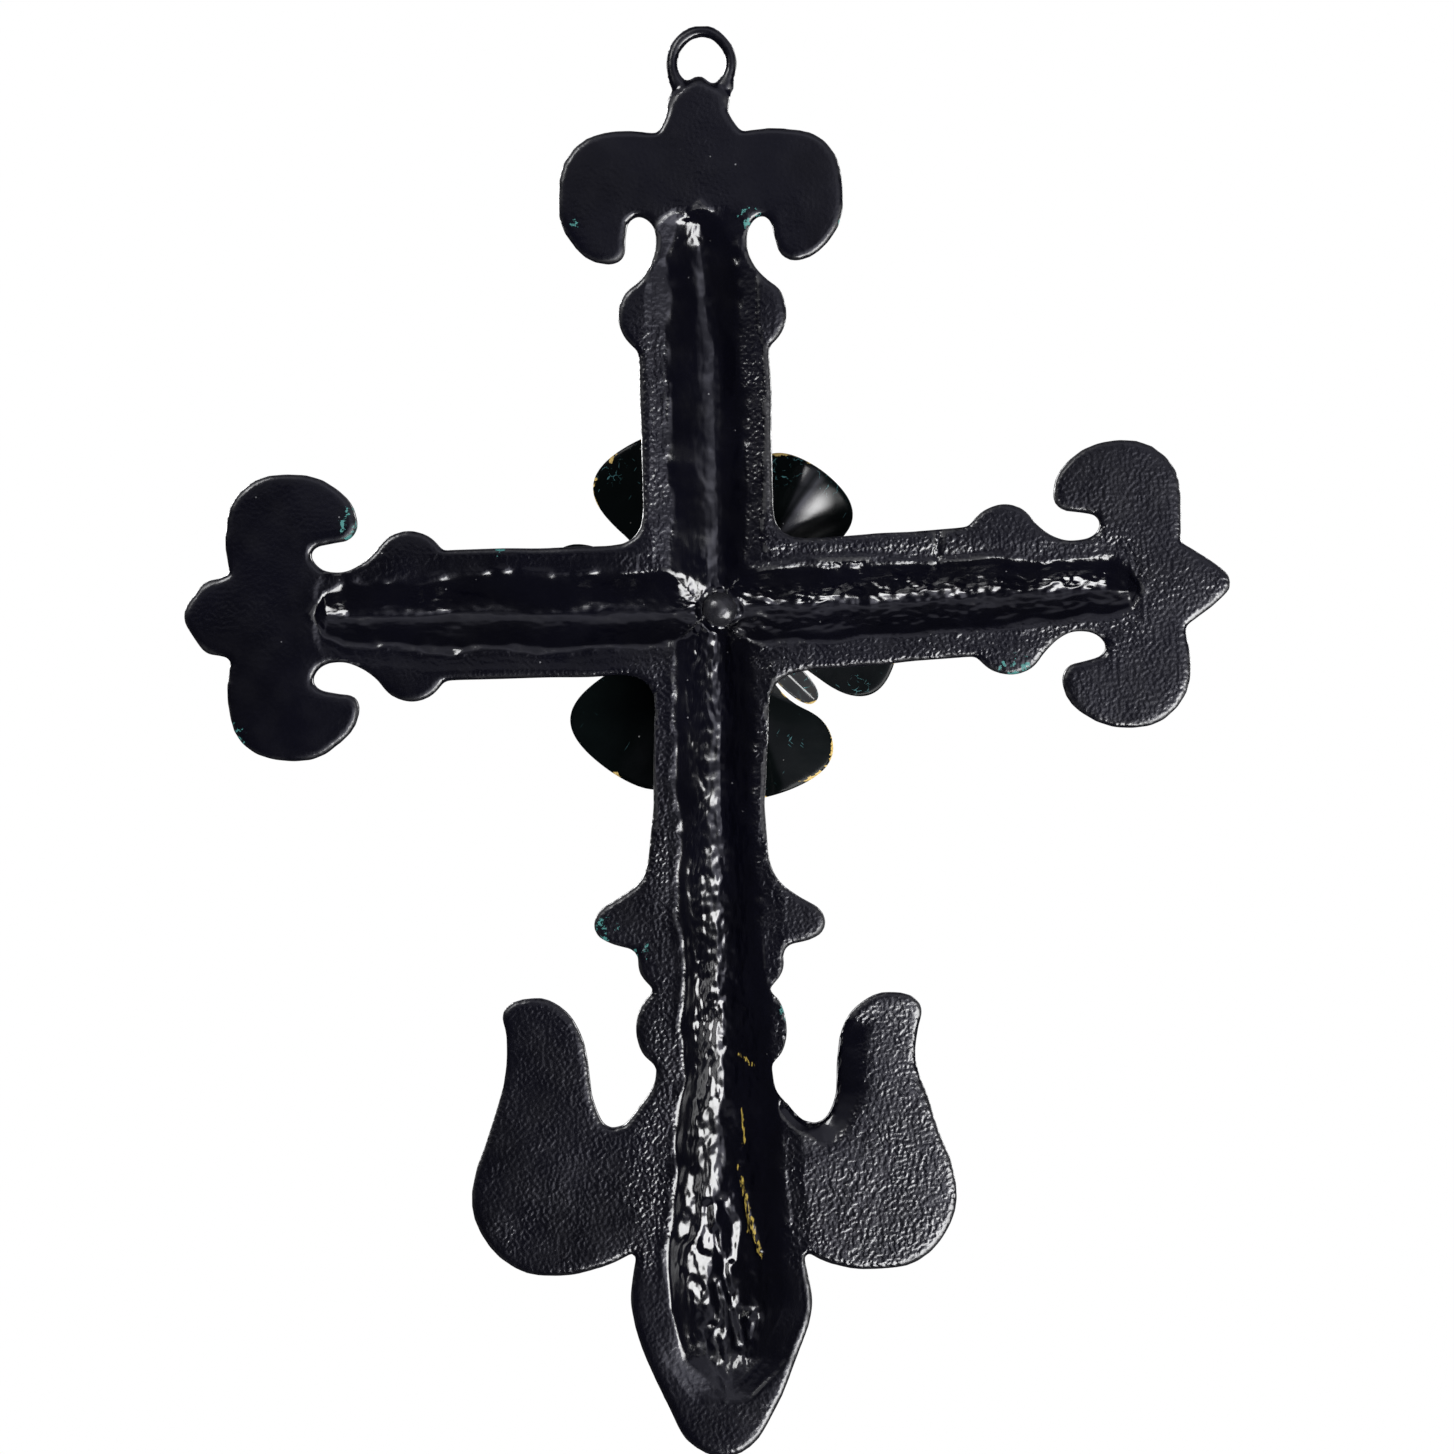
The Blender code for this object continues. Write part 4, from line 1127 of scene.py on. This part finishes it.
def whorl_tree():
    """A ring of petals: a grid for each point, wrapped round the rivet, cupped and joined at the hub."""
    tree = bpy.data.node_groups.new("petal_whorl", "GeometryNodeTree")
    sockets = (
        ("Geometry", "NodeSocketGeometry"), ("Columns", "NodeSocketInt"), ("Rows", "NodeSocketInt"),
        ("Centre", "NodeSocketVector"), ("Hole Radius", "NodeSocketFloat"), ("Hub Radius", "NodeSocketFloat"),
        ("Reach", "NodeSocketFloat"), ("Half Span", "NodeSocketFloat"), ("Squareness", "NodeSocketFloat"),
        ("Rise", "NodeSocketFloat"), ("Rise Power", "NodeSocketFloat"), ("Cup", "NodeSocketFloat"),
        ("Seat", "NodeSocketFloat"), ("Dents", "NodeSocketFloat"), ("Seed", "NodeSocketInt"),
        ("Material", "NodeSocketMaterial"),
    )
    for label, kind in sockets:
        tree.interface.new_socket(label, in_out="INPUT", socket_type=kind)
    tree.interface.new_socket("Geometry", in_out="OUTPUT", socket_type="NodeSocketGeometry")
    given = tree.nodes.new("NodeGroupInput").outputs
    result = tree.nodes.new("NodeGroupOutput")

    def petal(name):
        node = added(tree, "GeometryNodeInputNamedAttribute", Name=name)
        return node.outputs["Attribute"]

    def calc(operation, first, second=0.5):
        return maths(tree, operation, first, second)

    def product(first, second):
        return maths(tree, "MULTIPLY", first, second)

    def total(first, second):
        return maths(tree, "ADD", first, second)

    def less(first, second):
        return maths(tree, "SUBTRACT", first, second)

    grid = added(
        tree, "GeometryNodeMeshGrid", Size_X=2.0, Size_Y=1.0, Vertices_X=given["Columns"],
        Vertices_Y=given["Rows"],
    )
    copies = added(
        tree, "GeometryNodeInstanceOnPoints", Points=given["Geometry"], Instance=grid.outputs["Mesh"]
    )
    real = added(tree, "GeometryNodeRealizeInstances", Geometry=copies.outputs["Instances"])

    # From side to side: the outermost columns only close the hub between two petals
    position = tree.nodes.new("GeometryNodeInputPosition").outputs[0]
    place = added(tree, "ShaderNodeSeparateXYZ", Vector=position)
    stretch = calc("DIVIDE", less(given["Columns"], 1.0), less(given["Columns"], 3.0))
    across = product(place.outputs["X"], stretch)
    beyond = calc("GREATER_THAN", calc("ABSOLUTE", across), 1.0001)
    across = calc("MINIMUM", calc("MAXIMUM", across, -1.0), 1.0)
    share = calc("SINE", product(across, math.pi / 2))
    left = calc("GREATER_THAN", across, 0.0)
    gap = less(product(left, petal("after")), given["Half Span"])
    gap = total(gap, product(less(1.0, left), petal("before")))

    # From the rivet's hole out to the tip
    row = product(total(place.outputs["Y"], 0.5), less(given["Rows"], 1.0))
    inner = calc("LESS_THAN", row, 0.5)
    steps = calc("MAXIMUM", calc("DIVIDE", less(row, 1.0), less(given["Rows"], 2.0)), 0.0)
    side = calc("POWER", calc("ABSOLUTE", share), given["Squareness"])
    rounded = calc("POWER", calc("MAXIMUM", less(1.0, side), 0.0), calc("DIVIDE", 1.0, given["Squareness"]))
    out = product(rounded, steps)
    trim = product(left, petal("other_trim"))
    trim = total(trim, product(less(1.0, left), petal("trim")))
    trim = product(trim, ramped(tree, out, 0.02, 0.15))
    trim = less(1.0, product(trim, ramped(tree, out, 0.2, 0.75, 1.0, 0.0)))
    turn = product(product(share, given["Half Span"]), trim)
    turn = total(turn, product(product(beyond, gap), calc("SIGN", across)))
    turn = total(petal("turn"), turn)
    length = less(product(petal("reach"), given["Reach"]), given["Hub Radius"])
    radius = total(given["Hub Radius"], product(length, out))
    narrower = product(less(given["Hub Radius"], given["Hole Radius"]), inner)
    radius = less(radius, narrower)

    # Forward of the seat: the rise, the cup and the dents
    forward = product(given["Rise"], calc("POWER", out, given["Rise Power"]))
    cup = product(product(petal("cup"), given["Cup"]), calc("POWER", calc("ABSOLUTE", share), 1.2))
    forward = total(forward, product(cup, out))
    flat = added(
        tree, "ShaderNodeCombineXYZ", X=product(radius, calc("COSINE", turn)),
        Y=product(radius, calc("SINE", turn)),
    )
    wave = added(tree, "ShaderNodeTexNoise", Vector=flat.outputs[0], Scale=1 / (13 * MM), Detail=1.0)
    wave.noise_dimensions = "4D"
    link(tree, given["Seed"], wave.inputs["W"])
    dent = product(less(wave.outputs["Fac"], 0.5), product(given["Dents"], 2.0))
    forward = total(forward, product(dent, out))

    spread = added(
        tree, "ShaderNodeCombineXYZ", X=product(product(radius, calc("COSINE", turn)), -1.0),
        Y=less(given["Seat"], forward), Z=product(radius, calc("SINE", turn)),
    )
    moved = added(tree, "ShaderNodeVectorMath")
    link(tree, given["Centre"], moved.inputs[0])
    link(tree, spread.outputs[0], moved.inputs[1])
    rim = calc("MAXIMUM", ramped(tree, steps, 0.86, 1.0), ramped(tree, calc("ABSOLUTE", across), 0.80, 1.0))
    rim = product(rim, ramped(tree, out, 0.05, 0.25))
    marked = added(
        tree, "GeometryNodeStoreNamedAttribute", Geometry=real.outputs["Geometry"], Name="edge", Value=rim
    )
    shaped = added(
        tree, "GeometryNodeSetPosition", Geometry=marked.outputs["Geometry"], Position=moved.outputs[0]
    )
    joined = added(
        tree, "GeometryNodeMergeByDistance", Geometry=shaped.outputs["Geometry"], Distance=0.01 * MM
    )
    painted = added(
        tree, "GeometryNodeSetMaterial", Geometry=joined.outputs["Geometry"], Material=given["Material"]
    )
    link(tree, painted.outputs["Geometry"], result.inputs["Geometry"])
    return tree


def petal_points(name, petals):
    """One point for each petal, with its turn, its shares, and half the way to each of its neighbours."""
    mesh = bpy.data.meshes.new(name)
    mesh.from_pydata([(0, 0, 0)] * len(petals), [], [])
    axes = np.radians([petal.axis for petal in petals])
    after = (np.roll(axes, -1) - axes) % (2 * math.pi) / 2
    kept = {
        "turn": axes, "after": after, "before": np.roll(after, 1),
        "reach": [petal.reach for petal in petals], "cup": [petal.cup for petal in petals],
        "trim": [petal.trim for petal in petals], "other_trim": [petal.other_trim for petal in petals],
    }
    for label, values in kept.items():
        mesh.attributes.new(label, "FLOAT", "POINT").data.foreach_set("value", np.array(values, np.float32))
    return piece_from(mesh, name)


class CROSS_OT_flower(bpy.types.Operator):
    """Builds the two rings of petals from stamped sheet, each petal bent a little differently"""

    bl_idname = "cross.flower"
    bl_label = "Flower"

    def execute(self, context):
        sizes = context.scene.cross_flower
        tree = whorl_tree()
        labels = {item.name: item.identifier for item in tree.interface.items_tree if item.in_out == "INPUT"}
        for node, name, enamel, shine in (
            ("outer_petals", "broad_petals", sizes.enamel, 0.05),
            # The narrow petals take the grey with painted sheen instead of black enamel
            ("inner_petals", "narrow_petals", sizes.painted_sheen, 0.35),
        ):
            finish = sheet_finish(sizes, name + "_enamel", tuple(enamel), shine)
            piece = petal_points(name, WHORLS[node].petals)
            whorl = piece.modifiers.new("whorl", "NODES")
            whorl.node_group = tree
            inputs = dict(WHORLS[node].sizes, Columns=sizes.columns, Rows=sizes.rows, Dents=sizes.dents)
            hole = context.scene.cross_rivet.shank + HOLE_ROOM
            inputs.update({"Centre": RIVET_AXIS, "Hole Radius": hole, "Material": finish})
            for label, value in inputs.items():
                whorl[labels[label]] = value
            wall = piece.modifiers.new("thickness", "SOLIDIFY")
            wall.thickness = sizes.thickness
            wall.offset = 1
            soft = piece.modifiers.new("soft", "SUBSURF")
            soft.levels = 2
            soft.render_levels = 2
            ready(settled(piece), node, finish)
        return {"FINISHED"}


def turned(name, profile, steps):
    """A solid turned about the rivet's axis from a profile of (radius, y)."""
    edit = bmesh.new()
    points = [edit.verts.new(RIVET_AXIS + Vector((radius, y, 0))) for radius, y in profile]
    line = [edit.edges.new(pair) for pair in zip(points, points[1:])]
    bmesh.ops.spin(
        edit, geom=points + line, cent=RIVET_AXIS, axis=(0, 1, 0), angle=2 * math.pi, steps=steps,
        use_merge=True,
    )
    bmesh.ops.remove_doubles(edit, verts=edit.verts, dist=0.01 * MM)
    bmesh.ops.recalc_face_normals(edit, faces=edit.faces)
    mesh = bpy.data.meshes.new(name)
    edit.to_mesh(mesh)
    edit.free()
    return piece_from(mesh, name)


class CROSS_OT_rivet(bpy.types.Operator):
    """Turns the rivet with its domed heads, and gives them the dents of the hammer"""

    bl_idname = "cross.rivet"
    bl_label = "Rivet"

    def execute(self, context):
        sizes = context.scene.cross_rivet
        turns = np.radians(np.linspace(0, 90, 7))
        profile = [
            (sizes.back_radius * math.sin(turn), BACK_HEAD_Y + sizes.back_height * math.cos(turn))
            for turn in turns
        ]
        profile += [(sizes.shank, BACK_HEAD_Y), (sizes.shank, FRONT_HEAD_Y)]
        profile += [
            (sizes.front_radius * math.sin(turn), FRONT_HEAD_Y - sizes.front_height * math.cos(turn))
            for turn in turns[::-1]
        ]
        piece = turned("domed_rivet", profile, 24)
        soft = piece.modifiers.new("soft", "SUBSURF")
        soft.levels = 2
        soft.render_levels = 2
        settled(piece)
        points, normals = points_of(piece.data), normals_of(piece.data)
        points += normals * (RIVET_DENT * (lattice_noise(points / RIVET_DENT_CELL + 9, 12) - 0.5))[:, None]
        set_points(piece.data, points)
        ready(piece, "rivet", rivet_finish())
        return {"FINISHED"}


def aim(thing, target, roll=0.0):
    """Turns a camera or light to look at a point."""
    turn = (Vector(target) - thing.location).to_track_quat("-Z", "Y").to_matrix().to_4x4()
    thing.rotation_euler = (turn @ Matrix.Rotation(roll, 4, "Z")).to_euler()


def soft_light(name, right, down, distance, width, height, power):
    """A rectangle of light that faces the crossing, in degrees right of and below the way to the camera."""
    right, down = math.radians(right), math.radians(down)
    ray = Vector((-math.sin(right), math.cos(right), 0)) * math.cos(down) - Vector((0, 0, math.sin(down)))
    data = bpy.data.lights.new(name, "AREA")
    data.shape = "RECTANGLE"
    data.size, data.size_y = width, height
    data.energy = power
    lamp = bpy.data.objects.new(name, data)
    bpy.context.scene.collection.objects.link(lamp)
    crossing = Vector((0, 0, -RING_DROP))
    lamp.location = crossing + distance * ray
    lamp.visible_camera = False
    aim(lamp, crossing)


def swept(tree, angle, low, high, to_low, to_high):
    """A value spread smoothly over a stretch of angles, which is given in degrees."""
    return ramped(tree, angle, math.radians(low), math.radians(high), to_low, to_high)


def pale_surround():
    """A white surround for the camera that the enamel reflects only dimly."""
    surround = bpy.data.worlds.new("surround")
    surround.use_nodes = True
    tree = surround.node_tree
    tree.nodes.clear()
    seen = tree.nodes.new("ShaderNodeBackground")
    seen.inputs["Color"].default_value = (1, 1, 1, 1)
    lit = tree.nodes.new("ShaderNodeBackground")
    lit.inputs["Color"].default_value = (*SURROUND_TINT, 1)

    # A grey wall to the right of the camera, dimmer parts above it and straight below it, and a band overhead
    direction = tree.nodes.new("ShaderNodeTexCoord").outputs["Generated"]
    ray = added(tree, "ShaderNodeSeparateXYZ", Vector=direction)
    right = maths(tree, "ARCTAN2", times(tree, ray.outputs["X"], -1.0), ray.outputs["Y"])
    up = maths(tree, "ARCSINE", ray.outputs["Z"])
    wall = swept(tree, right, 1, 13, 0.0, 2.2)
    wall = times(tree, wall, swept(tree, up, -3, 7, 1.0, 0.15))
    above = swept(tree, up, 3, 7, 0.0, 0.2)
    below = swept(tree, up, -12, -6, 0.3, 0.0)
    below = times(tree, below, swept(tree, right, -5, 0, 0.0, 1.0))
    dim = plus(tree, wall, plus(tree, above, below))
    away = maths(tree, "ARCCOSINE", ray.outputs["Y"])
    dim = times(tree, dim, swept(tree, away, 28, 48, 1.0, 0.0))
    overhead = swept(tree, up, 18, 28, 0.0, 0.45)
    overhead = times(tree, overhead, swept(tree, up, 50, 65, 1.0, 0.0))
    dim = plus(tree, dim, overhead)
    link(tree, plus(tree, dim, 0.04), lit.inputs["Strength"])
    paths = tree.nodes.new("ShaderNodeLightPath")
    choose = tree.nodes.new("ShaderNodeMixShader")
    link(tree, paths.outputs["Is Camera Ray"], choose.inputs[0])
    link(tree, lit.outputs[0], choose.inputs[1])
    link(tree, seen.outputs[0], choose.inputs[2])
    out = tree.nodes.new("ShaderNodeOutputWorld")
    link(tree, choose.outputs[0], out.inputs["Surface"])
    bpy.context.scene.world = surround


# Degrees right of and below the way to the camera, metres from the crossing, metres wide and high, and watts
Lamp = namedtuple("Lamp", "name right down distance width height power")
LAMPS = (
    Lamp("softbox", 38, 28, 1.0, 0.50, 0.62, 20),
    Lamp("low_panel", 14, 34, 1.1, 0.22, 0.24, 4),
    Lamp("small_lamp", -36, -32, 1.1, 0.34, 0.34, 6),
    Lamp("front_left", -138, -20, 1.4, 0.8, 0.8, 24),
    Lamp("front_right", 132, -12, 1.4, 0.6, 0.9, 16),
)
VIEW_RIGHT = 3.61 * MM    # from the crossing to the middle of the photo's frame
VIEW_DOWN = 28.38 * MM
SENSOR_WIDTH = 36.0    # the camera's, in millimetres


class CROSS_OT_stage(bpy.types.Operator):
    """Sets the camera, the soft lights, the pale floor and the surround"""

    bl_idname = "cross.stage"
    bl_label = "Stage"

    def execute(self, context):
        sizes = context.scene.cross_stage
        target = Vector((-VIEW_RIGHT, BACK_Y, -RING_DROP - VIEW_DOWN))
        data = bpy.data.cameras.new("camera")
        data.sensor_width = SENSOR_WIDTH
        data.lens = SENSOR_WIDTH * sizes.distance / sizes.view_width
        camera = bpy.data.objects.new("camera", data)
        context.scene.collection.objects.link(camera)
        camera.location = target + Vector((0, sizes.distance, 0))
        aim(camera, target, -sizes.roll)
        context.scene.camera = camera

        for lamp in LAMPS:
            soft_light(*lamp)

        mesh = bpy.data.meshes.new("pale_floor")
        edit = bmesh.new()
        bmesh.ops.create_circle(edit, cap_ends=True, segments=96, radius=sizes.floor_radius)
        bmesh.ops.translate(edit, verts=edit.verts, vec=(0, 0, sizes.floor_drop))
        edit.to_mesh(mesh)
        edit.free()
        floor = piece_from(mesh, "pale_floor")
        paint, tree, shader, where = new_finish("pale_floor_paint")
        tone = ramped(tree, noise(tree, where, 0.3, 2.0), 0.3, 0.7)
        link(tree, mixed(tree, tone, *FLOOR_TONES), shader.inputs["Base Color"])
        shader.inputs["Roughness"].default_value = 0.8
        mesh.materials.append(paint)
        floor.visible_glossy = False

        pale_surround()
        context.scene.view_settings.view_transform = "Standard"
        return {"FINISHED"}


class CROSS_PT_panel(bpy.types.Panel):
    bl_label = "Cast Iron Cross"
    bl_space_type = "VIEW_3D"
    bl_region_type = "UI"
    bl_category = "Cross"

    def draw(self, context):
        for label, operator, settings in STEPS:
            box = self.layout.box()
            box.operator(operator, text=label)
            group = getattr(context.scene, settings)
            for name in group.__annotations__:
                box.prop(group, name)


STEPS = (
    ("Iron casting", "cross.casting", "cross_casting"),
    ("Flower", "cross.flower", "cross_flower"),
    ("Rivet", "cross.rivet", "cross_rivet"),
    ("Stage", "cross.stage", "cross_stage"),
)
SETTINGS = {
    "cross_casting": CastingSettings,
    "cross_flower": FlowerSettings,
    "cross_rivet": RivetSettings,
    "cross_stage": StageSettings,
}
OPERATORS = (CROSS_OT_casting, CROSS_OT_flower, CROSS_OT_rivet, CROSS_OT_stage)
CLASSES = (*SETTINGS.values(), *OPERATORS, CROSS_PT_panel)


def register():
    for kind in CLASSES:
        bpy.utils.register_class(kind)
    for name, kind in SETTINGS.items():
        setattr(bpy.types.Scene, name, PointerProperty(type=kind))


def unregister():
    for name in SETTINGS:
        delattr(bpy.types.Scene, name)
    for kind in reversed(CLASSES):
        bpy.utils.unregister_class(kind)


def main():
    register()
    bpy.ops.cross.casting()
    bpy.ops.cross.flower()
    bpy.ops.cross.rivet()
    bpy.ops.cross.stage()


if __name__ == "__main__":
    main()
